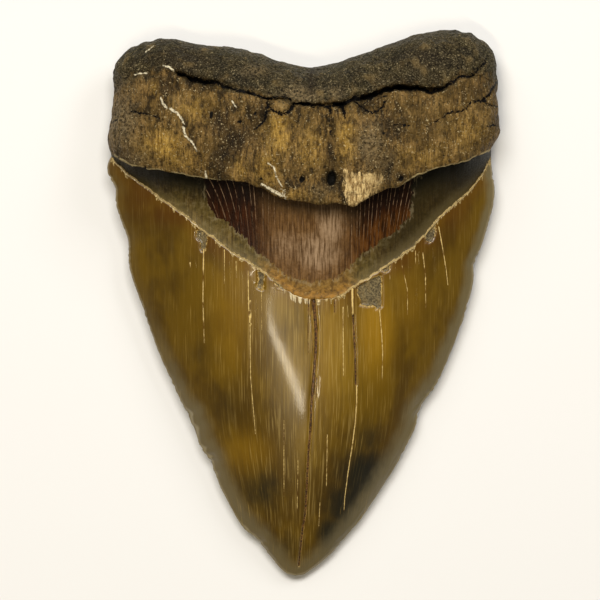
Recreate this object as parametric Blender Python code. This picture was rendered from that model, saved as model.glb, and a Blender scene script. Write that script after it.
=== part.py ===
"""A fossil megalodon tooth, one closed solid, lying on the flat outer (labial) face of its crown.

+Z is up, out of the bulging inner (lingual) face. +Y runs from the tip to the root, +X to the right
as the inner face is seen. The origin is the centre of the plan box, at the height of the resting face.
The tooth is two warped grids, the inner and the outer face, welded along the shared outline.
"""

import bisect
import math
from typing import Callable, NamedTuple

import bmesh
import bpy
import numpy as np
from mathutils import Vector, noise

MM = 0.001

# Driving sizes, in millimetres.
ROOT_THICKNESS = 26.5
ROOT_END_LOSS = 10.5
ROOT_TOP_LOSS = 8.5
ROOT_EDGE_RADIUS = 7.5
LIP_DROP = 3.6
LIP_UNDERCUT = 0.7
ENAMEL_THICKNESS = 0.9
NECK_SAG = 0.9
CROWN_FULLNESS = 2.15
CRACK_STEEPNESS = 2.4
FLAT_SHARE = 0.3
ROOT_HALF_WIDTH = 48.0

# The outline and the natural lines across the tooth, in millimetres, left to right or root to tip.
CREST_LINE = [
    (-48.0, 58.0), (-47.5, 60.0), (-46.0, 61.6), (-44.0, 63.5), (-41.0, 65.1), (-38.5, 65.9),
    (-34.8, 66.5), (-31.0, 65.5), (-28.5, 64.8), (-24.8, 64.2), (-19.8, 64.2), (-16.0, 63.8),
    (-12.2, 62.6), (-8.5, 61.2), (-4.8, 60.0), (-0.5, 59.0), (3.5, 59.1), (6.5, 59.7),
    (9.0, 60.5), (10.5, 61.2), (14.0, 62.0), (17.0, 63.1), (19.0, 64.0), (20.5, 64.8),
    (22.5, 65.0), (24.0, 65.9), (27.8, 66.9), (31.5, 67.7), (36.0, 67.8), (37.5, 68.2),
    (39.5, 68.4), (42.0, 67.7), (45.2, 65.2), (47.8, 62.4), (49.1, 59.4), (48.8, 57.0),
]
CRACK_LINE = [
    (-47.8, 53.5), (-40.0, 56.0), (-34.0, 57.5), (-31.0, 57.0), (-29.0, 55.5), (-26.0, 54.5),
    (-23.0, 54.4), (-20.5, 53.5), (-19.5, 52.5), (-14.8, 51.8), (-10.5, 50.8), (-8.0, 49.5),
    (-3.5, 49.2), (1.5, 49.0), (6.5, 49.0), (9.8, 49.0), (13.0, 49.8), (17.0, 51.2),
    (19.5, 52.8), (24.0, 53.2), (29.0, 53.0), (33.0, 52.8), (36.0, 53.5), (38.2, 55.2),
    (40.8, 56.0), (44.0, 56.4), (48.6, 54.2),
]
CRACK_HALF_WIDTH = [
    (-34.0, 0.15), (-29.5, 0.9), (-22.0, 0.9), (-18.0, 0.45), (-8.0, 0.3), (0.0, 0.45),
    (8.0, 0.6), (14.0, 0.8), (19.0, 0.6), (25.0, 0.9), (31.0, 0.6), (36.0, 0.4), (44.0, 0.15),
]
LIP_LINE = [
    (-48.5, 37.4), (-45.8, 35.5), (-43.5, 34.2), (-38.5, 33.0), (-33.5, 32.2), (-28.5, 31.2),
    (-24.2, 30.5), (-19.8, 30.0), (-15.2, 29.8), (-12.2, 28.8), (-8.5, 27.0), (-4.8, 25.2),
    (-1.0, 24.8), (4.0, 24.0), (9.0, 24.5), (10.5, 23.9), (11.8, 23.2), (14.5, 25.0),
    (18.2, 27.0), (20.2, 28.0), (24.0, 28.5), (26.0, 30.2), (28.2, 31.5), (32.8, 33.1),
    (37.8, 34.1), (42.8, 36.0), (47.0, 38.2),
]
ENAMEL_LINE = [
    (-48.4, 36.6), (-47.0, 34.8), (-44.0, 32.0), (-41.5, 30.2), (-38.5, 28.2), (-36.0, 26.0),
    (-33.5, 24.5), (-31.0, 22.5), (-28.5, 21.0), (-26.0, 18.5), (-22.2, 16.0), (-18.5, 12.8),
    (-14.8, 10.8), (-10.5, 8.0), (-8.0, 6.0), (-4.8, 3.5), (-1.8, 1.5), (1.5, 1.0),
    (7.2, 1.2), (9.5, 2.0), (11.5, 3.5), (16.5, 6.5), (20.2, 9.0), (24.0, 11.5),
    (27.8, 14.5), (31.5, 18.5), (33.5, 21.0), (37.8, 24.8), (41.0, 27.5), (43.5, 30.5),
    (45.8, 34.0), (46.9, 36.8),
]
LEFT_ROOT = [
    (-48.0, 58.0), (-47.6, 53.0), (-47.8, 50.5), (-48.5, 45.5), (-49.4, 41.4), (-49.3, 39.2),
    (-48.5, 37.4),
]
RIGHT_ROOT = [
    (48.8, 57.0), (48.5, 54.5), (48.8, 50.5), (49.2, 45.5), (49.6, 43.0), (49.3, 41.5),
    (48.2, 39.8), (47.0, 38.2),
]
LEFT_CROWN = [
    (-48.4, 36.6), (-49.3, 35.2), (-49.6, 33.2), (-49.0, 31.2), (-47.5, 29.0), (-47.1, 27.8),
    (-47.5, 25.6), (-46.9, 23.0), (-46.0, 20.5), (-45.0, 18.0), (-44.2, 16.2), (-44.0, 13.8),
    (-44.3, 11.8), (-44.1, 9.4), (-43.2, 6.2), (-42.2, 3.0), (-41.0, 0.0), (-39.6, -4.4),
    (-38.2, -8.2), (-36.8, -12.0), (-35.2, -15.8), (-33.5, -19.5), (-31.8, -23.2), (-30.0, -27.0),
    (-28.3, -30.8), (-26.7, -34.2), (-26.4, -36.0), (-25.0, -38.4), (-23.6, -39.8), (-22.9, -42.2),
    (-21.0, -47.0), (-18.3, -52.0), (-15.2, -57.0), (-13.4, -58.4), (-11.6, -59.6), (-10.0, -62.0),
    (-7.6, -64.8), (-6.2, -66.8), (-4.2, -68.3),
]
RIGHT_CROWN = [
    (46.9, 36.8), (46.9, 35.2), (47.2, 33.2), (47.5, 31.2), (47.8, 28.8), (47.8, 27.0),
    (47.6, 24.8), (47.0, 22.4), (46.3, 20.0), (45.5, 17.4), (44.9, 15.2), (43.9, 12.6),
    (42.8, 10.2), (42.4, 8.6), (42.7, 6.2), (42.1, 3.4), (41.4, 0.4), (40.2, -3.6),
    (38.8, -7.4), (37.4, -11.2), (35.9, -14.8), (34.2, -18.8), (32.9, -21.5), (31.6, -22.9),
    (29.9, -25.0), (28.4, -28.0), (28.2, -31.4), (26.6, -34.0), (25.4, -37.0), (22.8, -41.6),
    (20.0, -45.8), (17.2, -50.2), (14.2, -54.6), (11.6, -57.6), (8.6, -61.2), (6.4, -63.6),
    (3.8, -65.8), (1.6, -67.4), (-0.2, -68.5),
]
TIP = (-2.2, -68.8)

# Heights along the tooth, as (y, z): the outline's rim, the ridge of the crown, the outer face's middle.
RIM_HEIGHT = [(58.0, 7.5), (45.0, 7.0), (37.0, 6.2), (20.0, 5.2), (0.0, 4.6), (-30.0, 3.8), (-60.0, 3.0), (-68.8, 2.4)]
CROWN_RIDGE = [
    (38.0, 21.5), (20.0, 20.6), (0.0, 19.2), (-10.0, 18.5), (-20.0, 17.4), (-30.0, 15.9),
    (-40.0, 13.8), (-50.0, 11.0), (-60.0, 7.4), (-66.0, 4.6), (-68.8, 2.6),
]
OUTER_LIFT = [(66.0, 1.8), (54.0, 0.8), (40.0, 0.5), (30.0, 0.0), (-36.0, 0.0), (-50.0, 0.3), (-60.0, 0.9), (-68.8, 2.2)]

# The two long cracks of the crown, as (y, x), with half their width and their depth along them.
MAIN_SPLIT = [(60.0, 2.0), (1.0, 2.4), (-12.0, 3.0), (-24.5, 2.0), (-39.5, 1.0), (-52.0, 0.0), (-62.0, -1.2), (-68.8, -2.2)]
MAIN_SPLIT_HALF = 0.4
MAIN_SPLIT_DEPTH = [(1.2, 0.0), (0.4, 0.9), (-40.0, 0.7), (-56.0, 0.3), (-63.0, 0.0)]
SIDE_SPLIT = [(60.0, 14.0), (3.5, 12.0), (-12.0, 12.8), (-24.5, 13.2), (-37.0, 11.8), (-52.0, 8.6), (-60.0, 4.8), (-68.8, -1.2)]
SIDE_SPLIT_HALF = 0.25
SIDE_SPLIT_DEPTH = [(3.6, 0.0), (2.6, 0.45), (-22.0, 0.4), (-34.0, 0.0)]

# Flaked-off patches of enamel below the enamel line: centre x, y, half width, half height, depth.
FLAKES = [(16.0, 3.4, 3.2, 4.4, 0.75), (-25.2, 15.6, 1.3, 2.3, 0.6), (-11.0, 5.6, 1.1, 2.4, 0.6), (30.8, 17.0, 1.7, 1.8, 0.6)]
# Swellings (positive) and hollows of the root: centre x, y, radius, height.
LUMPS = [
    (-36.0, 61.0, 7.0, 1.2), (38.0, 62.0, 8.0, 1.4), (-6.5, 49.0, 2.6, 0.9), (-18.0, 42.0, 5.0, -0.9),
    (-11.0, 44.0, 3.2, -1.1), (7.0, 44.0, 3.5, -0.8), (12.0, 40.0, 5.0, 0.9), (6.6, 31.0, 2.4, -2.0),
    (-0.3, 30.4, 1.7, -1.3), (-22.8, 47.0, 1.8, -1.2), (-32.0, 42.0, 9.0, 0.7), (30.0, 41.0, 10.0, 0.6),
    (17.3, 47.4, 2.0, -1.3), (24.0, 31.5, 3.0, -0.7), (-24.0, 53.6, 4.5, -1.2), (11.8, 25.5, 2.2, 0.5),
]
ROOT_GRAIN_SIZE = 4.5
ROOT_GRAIN_HEIGHT = 0.55

# Rows of the grid, as shares of the way between two natural lines.
CREST_TO_CRACK = [0.0, 0.08, 0.2, 0.38, 0.64, 1.0]
CRACK_TO_LIP = [0.0, 0.12, 0.25, 0.38, 0.52, 0.66, 0.8, 0.93, 1.0]
LIP_TO_ENAMEL = [0.0, 0.1, 0.26, 0.44, 0.62, 0.8, 1.0]
# The crown's first row is this far below the neck's last one: the enamel's broken edge.
ENAMEL_STEP_REACH = 0.35
# The ragged enamel line fades to a plain curve over this many rows of the crown.
RAGGED_ROWS = 16

# Columns of the grid: steps left of the main crack, between the two cracks, and right of them.
# Each crack's bed takes two steps more.
LEFT_STEPS, MIDDLE_STEPS, RIGHT_STEPS = 24, 5, 19
LAST_COLUMN = LEFT_STEPS + MIDDLE_STEPS + RIGHT_STEPS + 4
SIDE_CROWDING = 1.2


def no_tuck(x):
    return 0.0


class Row(NamedTuple):
    """A row of the grid: its two ends on the outline, and the y and z of the points between them.

    The tuck moves the inner face's points up the plan, under the root's lip.
    """

    left: tuple
    right: tuple
    line: Callable
    height: Callable
    tuck: Callable = no_tuck


def clamp(value, low=0.0, high=1.0):
    return max(low, min(high, value))


def mix(a, b, share):
    return a + (b - a) * share


def ease(share):
    share = clamp(share)
    return share * share * (3.0 - 2.0 * share)


def along(points, at):
    """The second value of a polyline of pairs where its first value is at, held level past its ends."""
    if points[0][0] > points[-1][0]:
        points = points[::-1]
    if at <= points[0][0]:
        return points[0][1]
    if at >= points[-1][0]:
        return points[-1][1]
    index = bisect.bisect_right([first for first, _ in points], at)
    (x0, y0), (x1, y1) = points[index - 1], points[index]
    return mix(y0, y1, (at - x0) / (x1 - x0))


def smooth_along(points, at):
    """As along, on a rounded curve: the mean of the polyline over a short stretch."""
    reach = 3.0
    return sum(along(points, at + reach * step) for step in (-1.0, -0.5, 0.0, 0.5, 1.0)) / 5.0


LEFT_SIDE = [(y, x) for x, y in LEFT_ROOT + LEFT_CROWN + [TIP]]
RIGHT_SIDE = [(y, x) for x, y in RIGHT_ROOT + RIGHT_CROWN + [TIP]]
OUTLINE = np.array(CREST_LINE + RIGHT_ROOT[1:] + RIGHT_CROWN + [TIP] + LEFT_CROWN[::-1] + LEFT_ROOT[:0:-1])
OUTLINE_RUNS = np.roll(OUTLINE, -1, axis=0) - OUTLINE


def outline_distance(x, y):
    """How far a point lies in from the nearest stretch of the outline."""
    offsets = np.array((x, y)) - OUTLINE
    shares = (offsets * OUTLINE_RUNS).sum(axis=1) / (OUTLINE_RUNS * OUTLINE_RUNS).sum(axis=1)
    apart = offsets - OUTLINE_RUNS * np.clip(shares, 0.0, 1.0)[:, None]
    return float(np.hypot(apart[:, 0], apart[:, 1]).min())


def rim_height(x, y):
    crest_swell = 0.5 * (1.0 - (x / 50.0) ** 2) * ease((y - 56.0) / 3.0)
    return along(RIM_HEIGHT, y) + crest_swell


def lumps(x, y):
    """The root's broad swellings and hollows, with a coarse natural grain."""
    height = ROOT_GRAIN_HEIGHT * noise.fractal(Vector((x, y * 0.8, 3.0)) / ROOT_GRAIN_SIZE, 1.0, 2.0, 3)
    for centre_x, centre_y, radius, rise in LUMPS:
        apart = math.hypot(x - centre_x, y - centre_y) / radius
        height += rise * math.exp(-apart * apart)
    return height


def root_height(x, y):
    """The inner face of the root: thickest above the neck, thinner to both lobes, rounded at its edges."""
    crest, lip = along(CREST_LINE, x), along(LIP_LINE, x)
    rise = clamp((y - lip) / (crest - lip))
    spread = abs(x - 1.0) / ROOT_HALF_WIDTH
    body = ROOT_THICKNESS - ROOT_END_LOSS * spread**1.9
    body -= mix(ROOT_TOP_LOSS, 0.45 * ROOT_TOP_LOSS, spread) * clamp((rise - 0.25) / 0.75) ** 1.5
    body -= 1.3 * clamp(1.0 - rise / 0.14) ** 2
    at_edge = 1.0 - clamp(outline_distance(x, y) / ROOT_EDGE_RADIUS)
    rim = rim_height(x, y)
    return rim + (body + lumps(x, y) - rim) * math.sqrt(1.0 - at_edge * at_edge)


def crown_height(x, y):
    """The inner face of the crown: a dome across, thinning to the cutting edges and to the tip."""
    left, right = along(LEFT_SIDE, y), along(RIGHT_SIDE, y)
    half = max(0.5 * (right - left), 1e-6)
    across = clamp(abs(x - 0.5 * (left + right)) / half)
    rim = rim_height(x, y)
    return rim + (smooth_along(CROWN_RIDGE, y) - rim) * (1.0 - across**CROWN_FULLNESS)


def splits(x, y):
    """The depth of the crown's long cracks at the columns that run along their beds."""
    depth = 0.0
    for path, half, depths in (
        (MAIN_SPLIT, MAIN_SPLIT_HALF, MAIN_SPLIT_DEPTH),
        (SIDE_SPLIT, SIDE_SPLIT_HALF, SIDE_SPLIT_DEPTH),
    ):
        depth += along(depths, y) * clamp(1.0 - abs(x - along(path, y)) / (0.6 * half))
    return depth


def flakes(x, y):
    depth = 0.0
    for centre_x, centre_y, half_width, half_height, drop in FLAKES:
        reach = max(abs(x - centre_x) / half_width, abs(y - centre_y) / half_height)
        depth = max(depth, drop * clamp((1.15 - reach) / 0.2))
    return depth


def enamel_height(x, y):
    return crown_height(x, y) - splits(x, y) - flakes(x, y)


def below_enamel(x, y):
    """The surface that the enamel stands on, one enamel thickness down, level with it at the outline."""
    return crown_height(x, y) - ENAMEL_THICKNESS * ease(outline_distance(x, y) / 5.0)


def neck_height(x, share):
    """The hollow band between the root's lip and the enamel, share 0 under the lip and 1 at the enamel."""
    lip_y, enamel_y = along(LIP_LINE, x), along(ENAMEL_LINE, x)
    inland = outline_distance(x, lip_y)
    fade = ease(inland / 8.0)
    upper = root_height(x, lip_y) - LIP_DROP * mix(0.15, 1.0, ease(inland / 26.0)) * fade
    lower = below_enamel(x, enamel_y)
    return mix(upper, lower, share) - NECK_SAG * 4.0 * share * (1.0 - share) * fade


def outer_height(x, y):
    """The outer face: flat in its middle, curving up to the rim, rounded under the root."""
    in_root = ease((y - 28.0) / 12.0)
    half = 0.5 * (along(RIGHT_SIDE, y) - along(LEFT_SIDE, y))
    reach = max(mix((1.0 - FLAT_SHARE) * half, 10.0, in_root), 1e-6)
    at_edge = 1.0 - clamp(outline_distance(x, y) / reach)
    rise = mix(at_edge**2.3, 1.0 - math.sqrt(1.0 - at_edge * at_edge), in_root)
    lift = along(OUTER_LIFT, y) + 0.7 * in_root * clamp(1.0 - abs(x) / 16.0)
    return mix(lift, rim_height(x, y), rise)


def crest(x):
    return along(CREST_LINE, x)


def crack_upper(x):
    return along(CRACK_LINE, x) + along(CRACK_HALF_WIDTH, x)


def crack_middle(x):
    return along(CRACK_LINE, x)


def crack_lower(x):
    return along(CRACK_LINE, x) - along(CRACK_HALF_WIDTH, x)


def lip(x):
    return along(LIP_LINE, x)


def enamel_edge(x):
    return along(ENAMEL_LINE, x)


def crack_floor(x, y):
    return root_height(x, y) - CRACK_STEEPNESS * along(CRACK_HALF_WIDTH, x)


def between(upper, lower, share):
    """The line that runs the given share of the way from one line to the next."""
    return lambda x: mix(upper(x), lower(x), share)


def across_row(line, height):
    """A row whose ends are where its line, drawn on past both sides, meets the outline."""
    left_y, right_y = line(-ROOT_HALF_WIDTH - 2.0), line(ROOT_HALF_WIDTH + 2.0)
    return Row((along(LEFT_SIDE, left_y), left_y), (along(RIGHT_SIDE, right_y), right_y), line, height)


def neck_row(share):
    """A row of the neck. The first ones are tucked in under the root's lip."""

    def tuck(x):
        return LIP_UNDERCUT * (1.0 - share) ** 6 * ease((ROOT_HALF_WIDTH - 2.0 - abs(x)) / 10.0)

    row = across_row(between(lip, enamel_edge, share), lambda x, y: neck_height(x, share))
    return row._replace(tuck=tuck)


def crown_row(index):
    """A row of the crown. The first follows the V of the enamel line, and its sag fades out to the tip."""
    left, right = LEFT_CROWN[index], RIGHT_CROWN[index]
    (x0, y0), (x1, y1) = LEFT_CROWN[0], RIGHT_CROWN[0]
    depth = mix(y0, y1, 0.5) - enamel_edge(0.0)
    sag = depth * (left[1] + right[1] - 2.0 * TIP[1]) / (y0 + y1 - 2.0 * TIP[1])
    likeness = clamp(1.0 - index / RAGGED_ROWS)
    step = ENAMEL_STEP_REACH if index == 0 else 0.0

    def line(x):
        share = clamp((x - left[0]) / (right[0] - left[0]))
        ragged = (mix(y0, y1, share) - enamel_edge(mix(x0, x1, share))) / depth
        plain = 1.0 - abs(2.0 * share - 1.0) ** 1.35
        return mix(left[1], right[1], share) - sag * mix(plain, ragged, likeness) - step * ease(8.0 * plain)

    return Row(left, right, line, enamel_height)


def all_rows():
    """The rows from the root's crest, over its long crack and its lip, down the neck and the crown to the tip."""
    rows = [across_row(between(crest, crack_upper, share), root_height) for share in CREST_TO_CRACK]
    rows.append(across_row(crack_middle, crack_floor))
    rows += [across_row(between(crack_lower, lip, share), root_height) for share in CRACK_TO_LIP]
    rows += [neck_row(share) for share in LIP_TO_ENAMEL]
    rows += [crown_row(index) for index in range(len(LEFT_CROWN))]
    rows.append(Row(TIP, TIP, lambda x: TIP[1], crown_height))
    return rows


ROWS = all_rows()
NECK_START = len(CREST_TO_CRACK) + 1 + len(CRACK_TO_LIP)
CROWN_START = NECK_START + len(LIP_TO_ENAMEL)


def column_places(row):
    """The x of every column in a row: crowded at both sides, and along the beds of the two long cracks."""
    left, right = row.left[0], row.right[0]
    narrowing = clamp((right - left) / 20.0)
    main = along(MAIN_SPLIT, row.line(along(MAIN_SPLIT, row.left[1])))
    side = along(SIDE_SPLIT, row.line(along(SIDE_SPLIT, row.left[1])))
    main = clamp(main, mix(left, right, 0.2), mix(left, right, 0.6))
    side = clamp(side, mix(main, right, 0.2), mix(main, right, 0.7))
    main_half, side_half = MAIN_SPLIT_HALF * narrowing, SIDE_SPLIT_HALF * narrowing
    crowding = [(n / LEFT_STEPS) ** SIDE_CROWDING for n in range(LEFT_STEPS + 1)]
    places = [mix(left, main - main_half, share) for share in crowding]
    places.append(main)
    places += [mix(main + main_half, side - side_half, n / MIDDLE_STEPS) for n in range(MIDDLE_STEPS + 1)]
    places.append(side)
    crowding = [(n / RIGHT_STEPS) ** SIDE_CROWDING for n in range(RIGHT_STEPS, -1, -1)]
    places += [mix(right, side + side_half, share) for share in crowding]
    return places


def plan_point(row, column):
    if column == 0:
        return row.left
    if column == LAST_COLUMN:
        return row.right
    x = column_places(row)[column]
    return x, row.line(x)


def surface_point(row, column, height):
    """A grid point at the height of its face, or of the rim where it lies on the outline."""
    x, y = plan_point(row, column)
    if column in (0, LAST_COLUMN) or row is ROWS[0] or row is ROWS[-1]:
        height = rim_height
    return x, y, height(x, y)


def inner_point(row, column):
    x, y, z = surface_point(row, column, row.height)
    return x, y + row.tuck(x), z


def outer_point(row, column):
    return surface_point(row, column, outer_height)


def add_face_grid(bm, column_step, point_of, material_of):
    """A flat grid laid over the rows and every column_step-th column, with each vertex moved to its place."""
    columns, rows = LAST_COLUMN // column_step, len(ROWS) - 1
    grid = bmesh.ops.create_grid(bm, x_segments=columns, y_segments=rows, size=1.0)
    places = {}
    for vertex in grid["verts"]:
        column = round((vertex.co.x + 1.0) * 0.5 * columns) * column_step
        row = round((1.0 - vertex.co.y) * 0.5 * rows)
        places[vertex] = (row, column)
    faces = {face for vertex in grid["verts"] for face in vertex.link_faces}
    for face in faces:
        face.material_index = material_of(min(places[vertex][0] for vertex in face.verts))
    for vertex, (row, column) in places.items():
        vertex.co = Vector(point_of(ROWS[row], column)) * MM
    return places, faces


def inner_material(row):
    if row < NECK_START:
        return 0
    return 1 if row < CROWN_START else 2


def outer_material(row):
    return 0 if row < NECK_START - 3 else 2


def match_crest(bm, places):
    """Splits each crest edge of the coarser outer grid, so that it meets every column of the inner one."""
    crest = {vertex for vertex, (row, _) in places.items() if row == 0}
    edges = [edge for edge in bm.edges if edge.verts[0] in crest and edge.verts[1] in crest]
    for edge in edges:
        middle = sum(places[vertex][1] for vertex in edge.verts) // 2
        _, vertex = bmesh.utils.edge_split(edge, edge.verts[0], 0.5)
        vertex.co = Vector(inner_point(ROWS[0], middle)) * MM


def centre_on_box(bm):
    """Moves the tooth so that the origin is the centre of its plan box, at its lowest height."""
    lows = [min(vertex.co[axis] for vertex in bm.verts) for axis in range(3)]
    highs = [max(vertex.co[axis] for vertex in bm.verts) for axis in range(3)]
    shift = Vector((-0.5 * (lows[0] + highs[0]), -0.5 * (lows[1] + highs[1]), -lows[2]))
    bmesh.ops.translate(bm, verts=bm.verts, vec=shift)


def add_material(name, colour, roughness):
    material = bpy.data.materials.new(name)
    material.use_nodes = True
    shader = material.node_tree.nodes["Principled BSDF"]
    shader.inputs["Base Color"].default_value = (*colour, 1.0)
    shader.inputs["Roughness"].default_value = roughness
    shader.inputs["Metallic"].default_value = 0.0
    return material


def add_outer_face(bm):
    """The outer grid, with every other column of the inner one, facing down."""
    places, faces = add_face_grid(bm, 2, outer_point, outer_material)
    match_crest(bm, places)
    bmesh.ops.reverse_faces(bm, faces=list(faces))


def build_tooth():
    bm = bmesh.new()
    add_outer_face(bm)
    add_face_grid(bm, 1, inner_point, inner_material)
    bmesh.ops.remove_doubles(bm, verts=bm.verts, dist=0.002 * MM)
    bmesh.ops.recalc_face_normals(bm, faces=bm.faces)
    centre_on_box(bm)
    mesh = bpy.data.meshes.new("tooth")
    bm.to_mesh(mesh)
    bm.free()
    mesh.shade_smooth()
    mesh.set_sharp_from_angle(angle=math.radians(40.0))
    for material in (
        add_material("root_bone", (0.16, 0.12, 0.07), 0.75),
        add_material("neck_dentine", (0.11, 0.06, 0.03), 0.5),
        add_material("enamel", (0.26, 0.16, 0.03), 0.25),
    ):
        mesh.materials.append(material)
    tooth = bpy.data.objects.new("tooth", mesh)
    bpy.context.scene.collection.objects.link(tooth)
    return tooth


def main():
    for obj in list(bpy.data.objects):
        bpy.data.objects.remove(obj)
    build_tooth()


main()
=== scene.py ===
"""The looks of a fossil megalodon tooth that lies on its outer face, seen from above.

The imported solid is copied, its surface subdivided, and the fine relief of the root, the neck and the
enamel carved into the copy. Places are in millimetres, in the part's own plan coordinates.
"""

import math

import bmesh
import bpy
import numpy as np
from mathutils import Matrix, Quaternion, Vector, noise


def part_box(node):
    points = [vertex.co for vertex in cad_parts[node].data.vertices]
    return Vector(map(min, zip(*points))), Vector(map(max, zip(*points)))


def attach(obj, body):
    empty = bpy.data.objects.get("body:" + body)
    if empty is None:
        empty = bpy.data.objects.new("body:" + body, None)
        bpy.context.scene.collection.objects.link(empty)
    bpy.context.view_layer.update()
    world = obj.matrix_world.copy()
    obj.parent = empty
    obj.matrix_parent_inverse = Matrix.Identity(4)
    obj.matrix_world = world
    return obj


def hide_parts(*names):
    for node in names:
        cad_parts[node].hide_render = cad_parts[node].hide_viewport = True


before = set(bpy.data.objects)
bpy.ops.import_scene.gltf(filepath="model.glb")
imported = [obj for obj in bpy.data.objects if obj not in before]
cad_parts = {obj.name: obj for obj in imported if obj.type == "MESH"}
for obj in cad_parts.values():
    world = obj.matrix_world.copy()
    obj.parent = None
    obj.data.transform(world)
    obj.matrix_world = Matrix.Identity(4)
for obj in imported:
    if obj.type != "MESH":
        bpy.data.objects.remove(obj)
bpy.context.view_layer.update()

MM = 0.001
NODE = "tooth"

# The plan lists below put the tip at this y. The solid's own origin is the centre of its box.
TIP_Y = -68.8
PLAN_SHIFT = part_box(NODE)[0].y / MM - TIP_Y

# Lines across the tooth, as (x, y) from left to right, the last of them on the outer face.
CRACK_LINE = [
    (-47.8, 53.5), (-40, 56), (-34, 57.5), (-31, 57), (-29, 55.5), (-26, 54.5), (-23, 54.4),
    (-20.5, 53.5), (-19.5, 52.5), (-14.8, 51.8), (-10.5, 50.8), (-8, 49.5), (-3.5, 49.2), (1.5, 49),
    (6.5, 49), (9.8, 49), (13, 49.8), (17, 51.2), (19.5, 52.8), (24, 53.2), (29, 53), (33, 52.8),
    (36, 53.5), (38.2, 55.2), (40.8, 56), (44, 56.4), (48.6, 54.2),
]
LIP_LINE = [
    (-48.5, 37.4), (-45.8, 35.5), (-43.5, 34.2), (-38.5, 33), (-33.5, 32.2), (-28.5, 31.2),
    (-24.2, 30.5), (-19.8, 30), (-15.2, 29.8), (-12.2, 28.8), (-8.5, 27), (-4.8, 25.2), (-1, 24.8),
    (4, 24), (9, 24.5), (10.5, 23.9), (11.8, 23.2), (14.5, 25), (18.2, 27), (20.2, 28), (24, 28.5),
    (26, 30.2), (28.2, 31.5), (32.8, 33.1), (37.8, 34.1), (42.8, 36), (47, 38.2),
]
ENAMEL_LINE = [
    (-48.4, 36.6), (-47, 34.8), (-44, 32), (-41.5, 30.2), (-38.5, 28.2), (-36, 26), (-33.5, 24.5),
    (-31, 22.5), (-28.5, 21), (-26, 18.5), (-22.2, 16), (-18.5, 12.8), (-14.8, 10.8), (-10.5, 8),
    (-8, 6), (-4.8, 3.5), (-1.8, 1.5), (1.5, 1), (7.2, 1.2), (9.5, 2), (11.5, 3.5), (16.5, 6.5),
    (20.2, 9), (24, 11.5), (27.8, 14.5), (31.5, 18.5), (33.5, 21), (37.8, 24.8), (41, 27.5),
    (43.5, 30.5), (45.8, 34), (46.9, 36.8),
]
SHELF_LINE = [
    (-49, 40), (-36, 35), (-27, 31.5), (-24.6, 30), (-24.3, 25.5), (-22.5, 22), (-18, 19), (-14, 15.5),
    (-12, 12.5), (-10, 11.5), (-4, 6.5), (2, 5), (8, 6), (12.5, 10), (15.5, 12.8), (19.5, 15.5),
    (23.5, 18.2), (26.3, 21.5), (27.2, 31), (33, 36), (49, 42),
]
OUTER_ENAMEL_LINE = [
    (-50, 35.5), (-40, 37.5), (-28, 37.6), (-12, 34), (0, 32.6), (12, 33.8), (28, 37.4), (40, 37.6),
    (50, 36.5),
]
# How high the outline of the tooth stands above the floor, as (y, z).
RIM_HEIGHT = [(-68.8, 2.4), (-60, 3), (-30, 3.8), (0, 4.6), (20, 5.2), (37, 6.2), (45, 7), (58, 7.5)]

# Cracks and veins, as (points, half width at the start, half width at the end), in plan millimetres.
ROOT_CRACKS = [
    ([(-31.2, 56.8), (-28, 55.5), (-24.5, 54.6), (-21.5, 54.6), (-19.8, 53.4),
      (-14.5, 52.1), (-11, 51.2)], 0.62, 0.3),
    ([(-11, 51.2), (-9, 50.2), (-6.5, 50.4), (-4, 50.3), (-2.2, 49.2), (2.4, 48.9),
      (5.8, 48.5)], 0.35, 0.3),
    ([(7.6, 48.9), (9, 49.1), (12.4, 50.4), (15.8, 50.9), (19.1, 52.1), (22.4, 53.2),
      (26, 53.1)], 0.6, 0.7),
    ([(26, 53.1), (29.2, 52.9), (31.2, 52.2), (34.2, 52.8), (37.5, 55.1), (39.2, 56.1),
      (41.8, 56.1)], 0.75, 0.25),
    ([(41.8, 56.1), (43.2, 57.5), (44.9, 59.5), (45.9, 61.5)], 0.3, 0.1),
    ([(-9.1, 50.1), (-8.9, 48.6), (-7.4, 47.3), (-5.5, 46.4), (-3.6, 47.2), (-2.4, 49)], 0.12, 0.5),
    ([(-9.1, 49.6), (-9.4, 46), (-10.2, 44.4), (-12, 42.9)], 0.35, 0.15),
    ([(9.4, 48.8), (9.9, 47.2), (10.1, 45.6)], 0.85, 0.1),
    ([(12, 50), (13.6, 48.9), (15.6, 47.5), (17.2, 46.8), (19.2, 48), (20.2, 49.6)], 0.2, 0.3),
    ([(6.5, 48.8), (6.3, 45), (6.6, 41.5)], 0.3, 0.1),
    ([(32.4, 44.6), (34.5, 46), (36.6, 47.3), (39.2, 47.4), (40.9, 48.6), (41.6, 49.9),
      (44.2, 50), (46.3, 51.8), (48.3, 55)], 0.15, 0.3),
    ([(44.2, 50), (46.2, 49.2), (48.6, 48.7)], 0.25, 0.1),
    ([(45.2, 43.6), (47.9, 44.2)], 0.1, 0.15),
    ([(22.4, 43.8), (24.2, 44), (25.8, 43.6)], 0.15, 0.2),
    ([(-42.7, 47.5), (-40, 46.9), (-37.6, 46.3), (-35.2, 45.3)], 0.2, 0.1),
    ([(-48.2, 45), (-46.8, 45.3)], 0.15, 0.1),
]
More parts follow.
